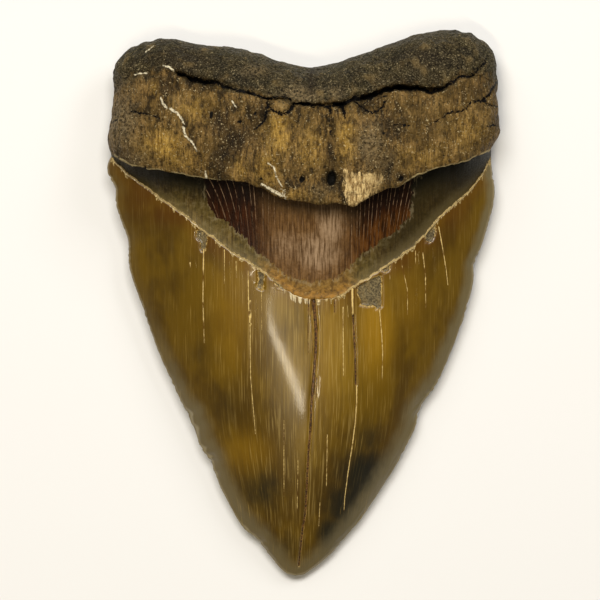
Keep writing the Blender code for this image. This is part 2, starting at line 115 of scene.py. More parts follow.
VEINS = [
    ([(-35.7, 50.9), (-35.2, 49.4), (-34.5, 48.6)], 0.14, 0.24),
    ([(-33.2, 47.9), (-32, 47.3), (-31.2, 46.5), (-29.9, 44.9)], 0.26, 0.16),
    ([(-29.9, 43.3), (-29.5, 41.3), (-27.5, 39.3), (-26.5, 37.4)], 0.22, 0.12),
    ([(-24.5, 32.6), (-24.2, 30.6)], 0.08, 0.2),
    ([(-34.9, 58.8), (-33.5, 58.4), (-32.4, 57.2)], 0.14, 0.2),
    ([(-42.2, 56.6), (-40.6, 56.9), (-39, 57)], 0.12, 0.08),
    ([(-39.6, 62.4), (-38.4, 62.7), (-37.5, 63.6)], 0.08, 0.05),
    ([(-17.8, 49.7), (-16.8, 48.2)], 0.13, 0.08),
    ([(-8.9, 34.4), (-7.4, 33.2), (-6.8, 30.9), (-5.4, 28.6)], 0.14, 0.07),
    ([(-10.5, 29), (-7.8, 27.6), (-5.2, 26.3)], 0.2, 0.32),
    ([(-4.7, 27.3), (-4.6, 25.4)], 0.1, 0.14),
]
PALE_SPLITS = [
    ([(-25, 13.1), (-25.2, 0.5), (-24.9, -10.2)], 0.17, 0.06),
    ([(-13.9, 7.8), (-13.8, -0.5), (-13.4, -6), (-13.3, -18.6), (-12.5, -28.2),
      (-12.1, -33)], 0.15, 0.05),
    ([(-13.3, 0.5), (-13.1, -5.5)], 0.1, 0.08),
    ([(-19.8, 13.1), (-19.8, 4.5)], 0.1, 0.04),
    ([(-16.9, 10.2), (-16.8, 6)], 0.1, 0.06),
    ([(-28.4, 10), (-28.3, 8.6)], 0.16, 0.08),
    ([(9.7, -1.2), (9.8, -18.6)], 0.14, 0.07),
    ([(12, 3.2), (12.1, -3.4)], 0.3, 0.24),
    ([(13.1, -20.6), (13.1, -25), (12.8, -29.8), (12.1, -35.5), (11, -42.5), (10.2, -49),
      (10, -52.5)], 0.16, 0.1),
    ([(18.8, -2), (19.3, -7.5), (19.6, -12.2), (19.5, -19.4)], 0.16, 0.06),
    ([(24.4, 9.2), (25.8, 3), (25.8, -3.1)], 0.11, 0.05),
    ([(29.6, 12.5), (30.3, 6.8), (30.4, -1.8)], 0.13, 0.06),
    ([(33.6, 18.9), (34.8, 12.5), (35.5, 8.4), (36, 4.2)], 0.15, 0.06),
    ([(21.3, 8), (21.4, 5.6)], 0.1, 0.07),
    ([(27.8, 12.8), (27.8, 9.2)], 0.1, 0.06),
    ([(5.8, -33), (5.6, -46)], 0.1, 0.05),
    ([(4, -50), (3.7, -56.5)], 0.08, 0.04),
    ([(-1.5, -39.2), (-1.7, -52)], 0.07, 0.05),
    ([(-5, -29.5), (-5, -48.6)], 0.09, 0.05),
    ([(-10.6, 4.2), (-10.5, -7)], 0.06, 0.04),
]
DARK_SPLITS = [
    ([(2.3, 1.2), (2.6, -2), (3, -7), (2.9, -12.2), (2.4, -18.8), (1.9, -25),
      (1.6, -31.5)], 0.46, 0.28),
    ([(1.6, -31.5), (1.1, -37.8), (0.7, -45.5), (0.4, -52), (-0.5, -58.2), (-0.9, -62),
      (-1.3, -66.2)], 0.28, 0.2),
    ([(3.2, -18.8), (3.1, -23.8)], 0.14, 0.08),
    ([(12.2, -3.4), (12.7, -12.2), (12.9, -20.6)], 0.24, 0.2),
    ([(1.1, 1), (1, -9), (1.1, -12.8)], 0.13, 0.06),
    ([(7.5, 0.6), (7.6, -2.6)], 0.14, 0.08),
]
OUTER_SPLITS = [
    ([(-3, 33), (-3.6, 18), (-2.8, 2), (-3.4, -14)], 0.2, 0.06),
    ([(11, 33.5), (11.8, 14), (11.2, -6), (9.8, -28), (7.6, -44)], 0.22, 0.06),
    ([(-17, 35), (-16.2, 20), (-16.8, 8)], 0.15, 0.05),
    ([(24, 36.5), (23.2, 26), (23.6, 12), (22.6, 2)], 0.16, 0.05),
    ([(-31, 37), (-30, 24), (-30.3, 15)], 0.12, 0.05),
    ([(2, -20), (1.4, -38), (-0.4, -56)], 0.08, 0.14),
]

# Pits of the root: centre x, y, half width, half height, depth.
PITS = [
    (6.8, 30.6, 1.5, 2.3, 2), (-0.6, 30.3, 0.9, 1.1, 1.3), (-22.9, 46.4, 0.5, 1.2, 0.8),
    (-10.8, 30.6, 0.5, 0.7, 0.7), (19.8, 42, 0.5, 0.5, 0.5), (20.6, 41.8, 0.35, 0.4, 0.4),
    (-39.5, 33.4, 0.7, 0.5, 0.5), (24.1, 30.6, 0.8, 0.8, 0.8), (-15.9, 44.6, 0.7, 0.6, 0.4),
    (-12.2, 46.8, 0.5, 0.7, 0.4), (-29.8, 36.6, 0.5, 0.4, 0.3),
]
# Flakes lost from the enamel's edge, as outlines.
FLAKES = [
    [(13.5, 3.9), (18.6, 6.6), (19.2, 6.1), (19.2, -1.5), (18.1, -1.7), (17.5, -0.7), (15.9, -1),
     (14, -0.6), (14.3, 0.4), (13.3, 2)],
    [(-26.7, 17.6), (-25, 18.1), (-24.1, 16), (-24.4, 14.4), (-24.7, 12.8), (-25.5, 12.6), (-25.8, 15),
     (-26.6, 16)],
    [(-11.5, 7.6), (-9.8, 7.4), (-10.1, 5.1), (-10.2, 3.1), (-11, 3.1), (-11.7, 3.9), (-11.2, 5.5)],
    [(-7.8, 6.6), (-6.1, 5.8), (-4.3, 4.7), (-4.5, 3.7), (-5.8, 3.2), (-7, 4.5)],
    [(30.2, 17.3), (32.5, 18.9), (32.8, 17.6), (32.2, 15.7), (31.7, 15), (30.4, 15.3)],
    [(19.1, 8.7), (21.4, 9.8), (21.2, 7.9), (20.2, 7.4)],
]
FLAKE_DEPTH = 0.8
# Knobs of the root, and its granular valleys as lines with their half width and depth.
KNOBS = [
    (-5.6, 48.6, 1.9, 0.9), (-1.5, 52, 1.6, 0.5), (-9, 47.6, 1.2, 0.5), (3.4, 46.4, 1.8, 0.4),
    (23.4, 51.2, 1.4, 0.35),
]
VALLEYS = [
    ([(-9.5, 46.5), (-12.5, 43), (-16, 40.5), (-20, 36), (-21, 31)], 2, 0.7),
    ([(6.4, 48.5), (6.5, 42), (6.9, 33)], 1.1, 0.4),
    ([(-22, 47), (-19.5, 43), (-17, 39.5), (-17.5, 35)], 1.8, 0.5),
    ([(-36.5, 55.5), (-33, 53), (-26, 54.6)], 1.6, 0.6),
    ([(21.5, 46), (21, 41.5), (20.2, 36.5), (20.4, 31.5)], 1.6, 0.5),
]

# Tones, as (x, y, half width, half height, strength).
ROOT_GOLD = [
    (-35, 38.8, 4.5, 3.5, 1), (-31, 35.5, 5, 2.5, 0.6), (-6.5, 41.5, 3, 4.5, 1),
    (-9, 32.8, 2.5, 3.5, 0.9), (-37, 53.5, 1, 2.2, 0.7), (1.5, 38, 3.2, 4.5, 0.5),
    (10.5, 40.5, 2.3, 4.8, 0.8), (-16, 33, 2, 2.5, 0.5), (-27.3, 48, 4.5, 3, 0.45),
    (29, 35.5, 8, 3, 0.35), (41, 42, 5, 5, 0.35), (-2.5, 26.5, 5, 1.2, 0.4),
]
ROOT_DARK = [
    (-20.5, 35.5, 2.3, 5.5, 0.8), (-14.8, 41, 3.5, 2.5, 0.7), (-10.5, 46, 1.8, 2.5, 0.9),
    (-34.8, 53.5, 2.2, 2.5, 0.8), (6.8, 36.8, 0.9, 4.5, 0.5), (22.8, 43, 2.2, 2.8, 0.6),
    (20.2, 33, 2.5, 3, 0.5), (-44.8, 34.5, 3, 2, 0.6), (24, 31, 1.3, 1.3, 0.9),
    (6.8, 30.6, 2, 2.8, 0.9), (-26, 54.5, 5, 1.8, 0.6), (24, 54, 6, 1.4, 0.5),
    (-31, 60, 6.5, 3.2, 0.7), (30.5, 60, 5.5, 3.5, 0.6), (1.8, 55.5, 0.9, 3.5, 0.7),
    (-36, 55.5, 2.5, 2, 0.5), (-20.5, 44.5, 2.8, 3.5, 0.75), (-17, 40.5, 3, 3.5, 0.8),
    (-9, 42, 1.2, 3, 0.6), (17.5, 50.5, 3, 1.5, 0.6),
]
ROOT_GREY = [
    (-46, 45.5, 4, 8, 0.9), (16.5, 39, 3.2, 5, 0.85), (-1, 51.5, 4.5, 2, 0.8), (-42, 36, 4, 2.5, 0.5),
    (20, 35, 3, 3, 0.6), (4, 27.5, 3, 1.5, 0.5), (-12.5, 57.5, 3, 1.2, 0.6), (8, 52, 2, 1.5, 0.6),
]
PALE_TONGUE = [
    (10, 32.7), (12.4, 31.7), (13.7, 32), (14.7, 31.5), (16.4, 32), (19.1, 31.3), (19.4, 30),
    (18.4, 27), (16.8, 26.6), (15.4, 25.6), (13.7, 24), (11.5, 22.6), (10.5, 23.5), (10.5, 27),
    (10, 30.3),
]
# Painted sheen: a paler band down the middle of the neck's hollow.
PAINTED_NECK_SHEEN = [(6.5, 19.5, 3.2, 6.5, 1), (3.5, 12.5, 5.5, 4.5, 1), (-4, 14, 5, 4, 0.6)]
# Painted sheen: pale glare patches down the middle of the crown.
PAINTED_CROWN_SHEEN = [
    (-4, -2, 6, 6, 0.8), (-2.5, -15, 5, 11, 0.8), (8, -14, 6, 11, 0.7), (-0.5, -30, 4, 12, 0.5),
]
CROWN_RED = [
    (-33.5, 22.2, 6, 3, 0.9), (-41, 26, 4.5, 5, 0.8), (-23.5, 14.3, 4, 2.5, 0.5),
    (37.8, 22, 3.5, 5, 0.7), (24, 10.2, 4, 3, 0.6), (31.5, 15.5, 3, 2.5, 0.7),
]
CROWN_DARK = [
    (15.5, -35, 4.5, 5.5, 0.6), (15.2, -44.5, 7, 9, 1), (11.2, -51.5, 6.5, 7, 1),
    (7.2, -58, 4.5, 4.8, 1), (-10.8, -47, 5.5, 5.5, 0.7), (-17.5, -45, 5, 6, 0.25),
    (-24.8, -13, 4.5, 6, 0.3), (-19.8, -24.5, 5.5, 6.5, 0.35), (-3.5, -61, 4.5, 3.5, 0.5),
    (-35, 6, 5, 12, 0.2),
]
CROWN_GOLD = [
    (-14, -37.5, 5.5, 5, 0.45), (-17, -2, 6, 14, 0.4), (17.5, -7, 4.5, 10, 0.85),
    (7, -12, 4.5, 12, 0.6), (26, 0, 4, 8, 0.3),
]


# Measuring on the plan

def line_at(line, x):
    xs, ys = zip(*line)
    return np.interp(x, xs, ys)


def smooth(value, start, end):
    share = np.clip((value - start) / (end - start), 0, 1)
    return share * share * (3 - 2 * share)


def nearest_on(points, line):
    """For each point: its offset from the nearest place on a line of points, how far, and the share along."""
    corners = np.array(line, float)
    runs = corners[1:] - corners[:-1]
    lengths = np.hypot(runs[:, 0], runs[:, 1])
    starts = np.concatenate(([0], np.cumsum(lengths)[:-1]))
    best = np.full(len(points), np.inf)
    offset = np.zeros((len(points), 2))
    along = np.zeros(len(points))
    for corner, run, length, start in zip(corners, runs, lengths, starts):
        apart = points - corner
        share = np.clip(apart @ run / length**2, 0, 1)
        apart = apart - share[:, None] * run
        far = np.hypot(apart[:, 0], apart[:, 1])
        nearer = far < best
        best[nearer] = far[nearer]
        offset[nearer] = apart[nearer]
        along[nearer] = start + share[nearer] * length
    return offset, best, along / lengths.sum()


def signed_distance(points, line):
    """How far each point lies on the root's side of a line: negative on the tip's side."""
    _, far, _ = nearest_on(points, line)
    return np.where(points[:, 1] > line_at(line, points[:, 0]), far, -far)


def depth_inside(points, outline):
    """How far each point lies inside a closed outline: negative outside it."""
    x, y = points[:, 0], points[:, 1]
    inside = np.zeros(len(points), bool)
    for (x0, y0), (x1, y1) in zip(outline, outline[1:] + outline[:1]):
        if y0 != y1:
            crossing = x0 + (x1 - x0) * (y - y0) / (y1 - y0)
            inside ^= ((y0 > y) != (y1 > y)) & (x < crossing)
    _, far, _ = nearest_on(points, outline + outline[:1])
    return np.where(inside, far, -far)


def each_line(points, lines):
    """For each of some lines: every point's offset and distance from it, and the line's half width there."""
    for line, start_half, end_half in lines:
        offset, far, share = nearest_on(points, line)
        yield offset, far, start_half + (end_half - start_half) * share


def off_ellipse(points, x, y, half_width, half_height):
    """How far each point lies from an ellipse's centre: 1 on the ellipse."""
    return np.hypot((points[:, 0] - x) / half_width, (points[:, 1] - y) / half_height)


def spots(points, places):
    """Soft elliptical patches, the strongest one counting at each point."""
    tone = np.zeros(len(points))
    for *ellipse, strength in places:
        tone = np.maximum(tone, strength * np.exp(-0.8 * off_ellipse(points, *ellipse) ** 2.4))
    return tone


def grain(points, size, stretch=(1, 1, 1), octaves=3, seed=0):
    """Fractal noise at each point, features about size millimetres across."""
    scaled = points / (size * np.array(stretch))
    return np.array([noise.fractal(Vector((x + seed, y, z)), 1, 2, octaves) for x, y, z in scaled])


# The fine surface

ROOT, NECK, ENAMEL, OUTER_ROOT, OUTER_ENAMEL = range(5)
SHARP_EDGE = math.radians(42)
SHARP_CREASE = 0.9
# A round of smoothing pulls the vertices in and then lets them out again, so that the broad form stays.
SMOOTHING_ROUND = (0.5, -0.51)
CROWN_ROUNDS = 200
RIM_ROUNDS = 20
# How far the surfaces fitted to the crown look, and how far in from its edges they give way, in millimetres.
FIT_REACH = 7
JOIN_REACH = 2.5
JOIN_BLUR = 0.7
# Left of this x the long crack is closed.
HEALED_CRACK_X = -33
# The ends of the root's outline are left as they are past this x, on both sides.
ROUNDED_X = 44.5


def region_of(centre, normal):
    """Which part of the tooth a coarse face belongs to, from its centre in plan millimetres."""
    x, y, z = centre
    rim = np.interp(y, *zip(*RIM_HEIGHT)) + 0.25 * (1 - (x / 50) ** 2) * (y > 57)
    if z < rim:
        return OUTER_ROOT if y > line_at(OUTER_ENAMEL_LINE, x) else OUTER_ENAMEL
    above_lip = y - line_at(LIP_LINE, x)
    if above_lip > 0.45 or above_lip > -0.2 and normal.z < 0.3:
        return ROOT
    return NECK if y > line_at(ENAMEL_LINE, x) - 0.3 else ENAMEL


def plan(co):
    return Vector((co.x / MM, co.y / MM - PLAN_SHIFT, co.z / MM))


def on_healed_crack(place):
    """Whether a point lies on the closed stretch of the long crack."""
    return place.x < HEALED_CRACK_X and place.z > 8 and abs(place.y - line_at(CRACK_LINE, place.x)) < 0.4


def smooth_heights(bm, chosen):
    """Smooths the heights of some vertices. The nearest neighbours count most."""
    bm.verts.index_update()
    ends = np.array([[vertex.index for vertex in edge.verts] for edge in bm.edges])
    weight = np.array([1 / edge.calc_length() for edge in bm.edges])
    total = np.bincount(ends.ravel(), np.repeat(weight, 2))
    height = np.array([vertex.co.z for vertex in bm.verts])
    free = np.zeros(len(height))
    free[[vertex.index for vertex in chosen]] = 1
    for factor in SMOOTHING_ROUND * CROWN_ROUNDS:
        pull = np.bincount(ends.ravel(), (weight[:, None] * height[ends[:, ::-1]]).ravel())
        height += factor * free * (pull / total - height)
    for vertex in chosen:
        vertex.co.z = height[vertex.index]


def fitted_height(places, middle):
    """The height at one place of the quadratic surface that best fits the places around it."""
    x, y = (places[:, :2] - middle[:2]).T
    weight = np.exp(-0.5 * (x * x + y * y) / FIT_REACH**2)
    near = weight > 0.01
    terms = np.stack([np.ones(len(x)), x, y, x * x, x * y, y * y], axis=1)[near]
    weighted = terms * weight[near, None]
    return np.linalg.solve(weighted.T @ terms, weighted.T @ places[near, 2])[0]


def fit_heights(chosen):
    """Puts vertices on smooth surfaces that fit their surroundings, and still join what lies beside them."""
    around = {near for vertex in chosen for edge in vertex.link_edges for near in edge.verts}
    beside = sorted(around - set(chosen), key=lambda vertex: vertex.index)
    places = np.array([vertex.co for vertex in chosen + beside]) / MM
    fitted = np.array([fitted_height(places, place) for place in places])
    count = len(chosen)
    missed = (places[:, 2] - fitted)[count:]
    for vertex, place, height in zip(chosen, places, fitted):
        apart = np.hypot(*(places[count:, :2] - place[:2]).T)
        pull = np.exp(-(apart - apart.min()) / JOIN_BLUR)
        correction = (pull @ missed) / pull.sum() * math.exp(-apart.min() / JOIN_REACH)
        vertex.co.z = MM * (height + correction)


def round_root_outline(bm):
    """Rounds the corners of the root's outline: each vertex of it moves by its two neighbours along it."""
    along = {}
    for vertex in bm.verts:
        if {ROOT, OUTER_ROOT} <= {face.material_index for face in vertex.link_faces}:
            along[vertex] = [edge.other_vert(vertex) for edge in vertex.link_edges]
    pairs = {}
    for vertex, others in along.items():
        pair = [other for other in others if other in along]
        if len(pair) == 2 and abs(vertex.co.x) < ROUNDED_X * MM:
            pairs[vertex] = pair
    for factor in SMOOTHING_ROUND * RIM_ROUNDS:
        middles = {vertex: (pair[0].co + pair[1].co) / 2 for vertex, pair in pairs.items()}
        for vertex, middle in middles.items():
            vertex.co = vertex.co.lerp(middle, factor)


def coarse_copy(node):
    """The node's mesh, merged and joined to quads, with its regions named and its sharp edges creased."""
    bm = bmesh.new()
    bm.from_mesh(node.data)
    bmesh.ops.remove_doubles(bm, verts=bm.verts, dist=1e-7)
    bmesh.ops.join_triangles(
        bm,
        faces=bm.faces,
        angle_face_threshold=math.pi,
        angle_shape_threshold=math.pi,
        topology_influence=1,
    )
    crease = bm.edges.layers.float.new("crease_edge")
    for face in bm.faces:
        face.material_index = region_of(plan(face.calc_center_median()), face.normal)
        face.smooth = True
    crown = [
        vertex for vertex in bm.verts
        if all(face.material_index == ENAMEL for face in vertex.link_faces)
    ]
    smooth_heights(bm, crown)
    fit_heights(crown)
    round_root_outline(bm)
    healed = [vertex for vertex in bm.verts if on_healed_crack(plan(vertex.co))]
    for _ in range(4):
        bmesh.ops.smooth_vert(bm, verts=healed, factor=0.8, use_axis_z=True)
    for edge in bm.edges:
        edge[crease] = SHARP_CREASE if edge.calc_face_angle(0) > SHARP_EDGE else 0
    mesh = bpy.data.meshes.new("tooth_surface")
    bm.to_mesh(mesh)
    bm.free()
    return mesh


def subdivided(mesh, levels):
    """The mesh's subdivision surface, as a mesh of its own."""
    holder = bpy.data.objects.new("tooth_holder", mesh)
    bpy.context.scene.collection.objects.link(holder)
    surface = holder.modifiers.new("surface", "SUBSURF")
    surface.levels = surface.render_levels = levels
    surface.use_creases = True
    depsgraph = bpy.context.evaluated_depsgraph_get()
    fine = bpy.data.meshes.new_from_object(holder.evaluated_get(depsgraph))
    bpy.data.objects.remove(holder)
    return fine


def read(items, name, kind=np.int32, width=1):
    """One property of all of a mesh's vertices, faces or corners, as an array."""
    values = np.zeros(len(items) * width, kind)
    items.foreach_get(name, values)
    return values.reshape(-1, width) if width > 1 else values


def redraw_outer_line(mesh):
    """Parts the outer face's root from its enamel again, now by the fine faces."""
    centres = read(mesh.polygons, "center", np.float32, 3) / MM
    regions = read(mesh.polygons, "material_index")
    above = centres[:, 1] - PLAN_SHIFT > line_at(OUTER_ENAMEL_LINE, centres[:, 0])
    regions = np.where(regions < OUTER_ROOT, regions, np.where(above, OUTER_ROOT, OUTER_ENAMEL))
    mesh.polygons.foreach_set("material_index", regions.astype(np.int32))


class Surface:
    """The fine mesh as arrays: plan coordinates in millimetres, normals, and the regions of each vertex."""

    def __init__(self, mesh):
        self.mesh = mesh
        self.co = read(mesh.vertices, "co", np.float32, 3).astype(float) / MM
        self.co[:, 1] -= PLAN_SHIFT
        self.normal = read(mesh.vertices, "normal", np.float32, 3).astype(float)
        corners = read(mesh.loops, "vertex_index")
        sizes = read(mesh.polygons, "loop_total")
        corner_region = np.repeat(read(mesh.polygons, "material_index"), sizes)
        self.within = np.zeros((5, len(self.co)), bool)
        for region, inside in enumerate(self.within):
            inside[corners[corner_region == region]] = True

    @property
    def xy(self):
        return self.co[:, :2]

    def push(self, amount, where):
        """Moves vertices along their normals, outwards where the amount is positive."""
        self.co += self.normal * (amount * where)[:, None]

    def write_back(self):
        co = self.co.copy()
        co[:, 1] += PLAN_SHIFT
        self.mesh.vertices.foreach_set("co", (co * MM).astype(np.float32).ravel())
        self.mesh.update()

    def keep(self, name, values):
        """Stores a value per vertex for the materials."""
        kind, field = ("FLOAT_VECTOR", "vector") if values.ndim == 2 else ("FLOAT", "value")
        attribute = self.mesh.attributes.new(name, kind, "POINT")
        attribute.data.foreach_set(field, values.astype(np.float32).ravel())

    def keep_lines(self, name, lines, where):
        """Stores each vertex's offset and distance from the nearest line, and that line's half width."""
        best = np.full(len(self.co), np.inf)
        offset = np.zeros((len(self.co), 3))
        width = np.zeros(len(self.co))
        for apart, far, half in each_line(self.xy, lines):
            nearer = far < best
            best[nearer] = far[nearer]
            offset[nearer, :2] = apart[nearer]
            width[nearer] = half[nearer]
        offset[:, 2] = best
        offset[~where] = 9
        self.keep(name, offset)
        self.keep(name + "_width", width)


def outline_distance(surface):
    """How far each vertex lies from the cutting edge or the root's outline, in plan."""
    bottom = surface.within[OUTER_ROOT] | surface.within[OUTER_ENAMEL]
    top = surface.within[ROOT] | surface.within[NECK] | surface.within[ENAMEL]
    edge = surface.xy[bottom & top]
    far = np.full(len(surface.co), np.inf)
    for batch in np.array_split(edge, len(edge) // 40):
        apart = surface.xy[:, None] - batch[None]
        far = np.minimum(far, np.hypot(apart[..., 0], apart[..., 1]).min(axis=1))
    return far


def shift_line(surface, line, reach, amount, where):
    """Makes a line ragged: moves the surface near it up and down the plan."""
    near = np.exp(-(signed_distance(surface.xy, line) / reach) ** 2) * where
    surface.co[:, 1] += amount * near


def shift_lines(surface, inland):
    """Makes the lip, the enamel's edge and the long crack ragged, and takes the crack round its knob."""
    inner = (~(surface.within[OUTER_ROOT] | surface.within[OUTER_ENAMEL])).astype(float)
    across = surface.co * (1, 0, 0)
    wobble = 0.32 * grain(across, 2.2, octaves=4, seed=5)
    shift_line(surface, LIP_LINE, 1.6, wobble, inner * smooth(inland, 0.5, 4))
    shift_line(surface, ENAMEL_LINE, 0.9, 0.45 * grain(across, 1.1, octaves=3, seed=9), inner)
    over_knob = 1.1 * np.exp(-((across[:, 0] + 5.8) / 2) ** 2)
    shift_line(surface, CRACK_LINE, 1.4, over_knob + 0.5 * grain(across, 1.6, octaves=3, seed=17), inner)


def roughen_bone(surface, inland, above_lip):
    """The grain of the bone. Gives how far it raises each vertex, and its coarse share."""
    bone = (surface.within[ROOT] | surface.within[OUTER_ROOT]).astype(float)
    upper = smooth(signed_distance(surface.xy, CRACK_LINE), -2, 2)
    coarse = grain(surface.co, 2.6, octaves=3)
    fine = grain(surface.co, 0.9, octaves=2, seed=40)
    fibre = grain(surface.co, 0.8, stretch=(1, 5, 5), octaves=2, seed=80)
    away = smooth(np.abs(above_lip), 0.2, 2)
    lumpy = grain(surface.co, 4.5, octaves=2, seed=300)
    relief = 0.4 * lumpy + (0.25 + 0.15 * upper) * coarse + 0.14 * fine + 0.16 * (1 - upper) * fibre
    surface.push(relief, bone * (0.4 + 0.6 * away) * (0.5 + 0.5 * smooth(inland, 0, 4)))
    return relief, coarse


def swell_bone(surface, coarse):
    """The knobs and the granular valleys of the bone. Gives how far they raise each vertex."""
    raised = np.zeros(len(surface.co))
    for x, y, radius, rise in KNOBS:
        raised += rise * np.exp(-off_ellipse(surface.xy, x, y, radius, radius) ** 2)
    for points, half, drop in VALLEYS:
        _, far, _ = nearest_on(surface.xy, points)
        raised -= drop * np.exp(-(far / half) ** 2) * (1 + 0.8 * coarse)
    surface.co[:, 2] += raised * surface.within[ROOT]
    return raised


def cut_bone(surface, inland, above_lip):
    """The open cracks and the pits of the bone."""
    depth = np.zeros(len(surface.co))
    jag = 0.3 * grain(surface.co, 1.1, octaves=2, seed=60)
    for _, far, half in each_line(surface.xy, ROOT_CRACKS):
        half = half + 0.2
        depth = np.maximum(depth, 2.4 * half * smooth(far + jag * half, half + 0.1, 0))
    hollow = np.zeros(len(surface.co))
    for *ellipse, drop in PITS:
        apart = off_ellipse(surface.xy, *ellipse)
        depth = np.maximum(depth, drop * smooth(apart, 1.15, 0.35))
        hollow = np.maximum(hollow, smooth(apart, 1.2, 0.2))
    inner = surface.within[ROOT].astype(float)
    surface.keep("pits", hollow * inner)
    surface.co[:, 2] -= depth * inner * smooth(inland, 0.3, 2.5) * smooth(above_lip, 0.3, 1.5)


def carve_root(surface, inland):
    """The root's relief, which its colours follow too, and its cracks and pits."""
    above_lip = signed_distance(surface.xy, LIP_LINE)
    relief, coarse = roughen_bone(surface, inland, above_lip)
    surface.keep("relief", relief + 0.5 * swell_bone(surface, coarse))
    cut_bone(surface, inland, above_lip)


def carve_neck(surface):
    """The fine ridges of the neck, and the crumbling bottom of the V."""
    neck = surface.within[NECK].astype(float)
    ridges = grain(surface.co, 1.1, stretch=(1, 14, 14), octaves=2, seed=120)
    near_enamel = smooth(signed_distance(surface.xy, ENAMEL_LINE), 0.3, 2)
    middle = np.exp(-((surface.xy[:, 0] - 2) / 16) ** 2)
    on_shelf = smooth(signed_distance(surface.xy, SHELF_LINE), 1, -1)
    rough = grain(surface.co, 1.7, octaves=2, seed=160) * on_shelf * middle
    surface.push(0.07 * ridges + 0.2 * rough, neck * near_enamel)


def carve_enamel(surface, inland):
    """Flakes, cracks, the soft waviness of the enamel, and the step down to the root on the outer face."""
    enamel = (surface.within[ENAMEL] & ~surface.within[NECK]).astype(float)
    depth = np.zeros(len(surface.co))
    for _, far, half in each_line(surface.xy, DARK_SPLITS):
        depth = np.maximum(depth, 1.6 * half * smooth(far, half + 0.35, 0.1))
    uneven = 1 + 0.12 * grain(surface.co, 0.8, octaves=2, seed=200)
    for outline in FLAKES:
        lost = smooth(depth_inside(surface.xy, outline), -0.25, 0.15)
        depth = np.maximum(depth, FLAKE_DEPTH * uneven * lost)
    surface.co[:, 2] -= depth * enamel
    waves = grain(surface.co, 9, stretch=(1, 2, 1), octaves=1, seed=240)
    surface.push(0.02 * waves, enamel * smooth(inland, 0.5, 3))
    outer = surface.within[OUTER_ROOT].astype(float)
    past_line = smooth(signed_distance(surface.xy, OUTER_ENAMEL_LINE), 0, 0.7)
    surface.push(-0.4 * past_line * smooth(inland, 0.5, 4), outer)


def wear_edge(surface, inland):
    """Nibbles the crown's cutting edges, which are worn but not straight."""
    crown = (surface.xy[:, 1] < 34) * smooth(surface.xy[:, 1], -68, -60)
    nibbles = np.abs(grain(surface.co * (0, 1, 0), 1.7, octaves=3, seed=400)) - 0.15
    surface.co[:, 0] -= np.sign(surface.xy[:, 0]) * 0.55 * nibbles * smooth(inland, 1.8, 0) * crown


def keep_tones(surface, inland):
    """What the materials read: distances to the natural lines, the cracks and veins, and the broad tones."""
    outside = surface.within[OUTER_ROOT] | surface.within[OUTER_ENAMEL]
    hidden = outside & ~(surface.within[ROOT] | surface.within[NECK] | surface.within[ENAMEL])
    seen = (~hidden).astype(float)
    enamel_line = np.where(
        hidden, signed_distance(surface.xy, OUTER_ENAMEL_LINE), signed_distance(surface.xy, ENAMEL_LINE)
    )
    surface.keep("enamel_line", enamel_line)
    surface.keep("lip_line", signed_distance(surface.xy, LIP_LINE))
    surface.keep("shelf_line", signed_distance(surface.xy, SHELF_LINE))
    surface.keep("crack_line", np.where(hidden, 3, signed_distance(surface.xy, CRACK_LINE)))
    surface.keep("inland", inland)
    surface.keep("hidden", hidden.astype(float))
    for name, places in (
        ("root_gold", ROOT_GOLD), ("root_dark", ROOT_DARK), ("root_grey", ROOT_GREY),
        ("painted_neck_sheen", PAINTED_NECK_SHEEN), ("painted_crown_sheen", PAINTED_CROWN_SHEEN), ("crown_red", CROWN_RED),
        ("crown_dark", CROWN_DARK), ("crown_gold", CROWN_GOLD),
    ):
        surface.keep(name, spots(surface.xy, places) * seen)
    surface.keep("root_pale", np.where(hidden, -9, depth_inside(surface.xy, PALE_TONGUE)))
    flake = np.max([depth_inside(surface.xy, outline) for outline in FLAKES], axis=0)
    surface.keep("flake", np.where(hidden, -9, flake))
    for name, lines in (
        ("root_cracks", ROOT_CRACKS), ("veins", VEINS),
        ("pale_splits", PALE_SPLITS), ("dark_splits", DARK_SPLITS),
    ):
        surface.keep_lines(name, lines, ~hidden)
    surface.keep_lines("outer_splits", OUTER_SPLITS, hidden)


def build_tooth():
    """The fine surface, carved, as an object of its own."""
    mesh = subdivided(coarse_copy(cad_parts[NODE]), 2)
    redraw_outer_line(mesh)
    surface = Surface(mesh)
    inland = outline_distance(surface)
    keep_tones(surface, inland)
    shift_lines(surface, inland)
    carve_root(surface, inland)
    carve_neck(surface)
    carve_enamel(surface, inland)
    wear_edge(surface, inland)
    surface.co[:, 2] = np.maximum(surface.co[:, 2], 0)
    surface.write_back()
    tooth = bpy.data.objects.new("tooth_dressed", mesh)
    bpy.context.scene.collection.objects.link(tooth)
    return tooth


# Materials

def linear(red, green, blue):
    """An sRGB colour, 0 to 255, as the linear colour that a shader takes."""
    steps = [c / 255 for c in (red, green, blue)]
    return tuple(((c + 0.055) / 1.055) ** 2.4 if c > 0.04 else c / 12.92 for c in steps) + (1,)


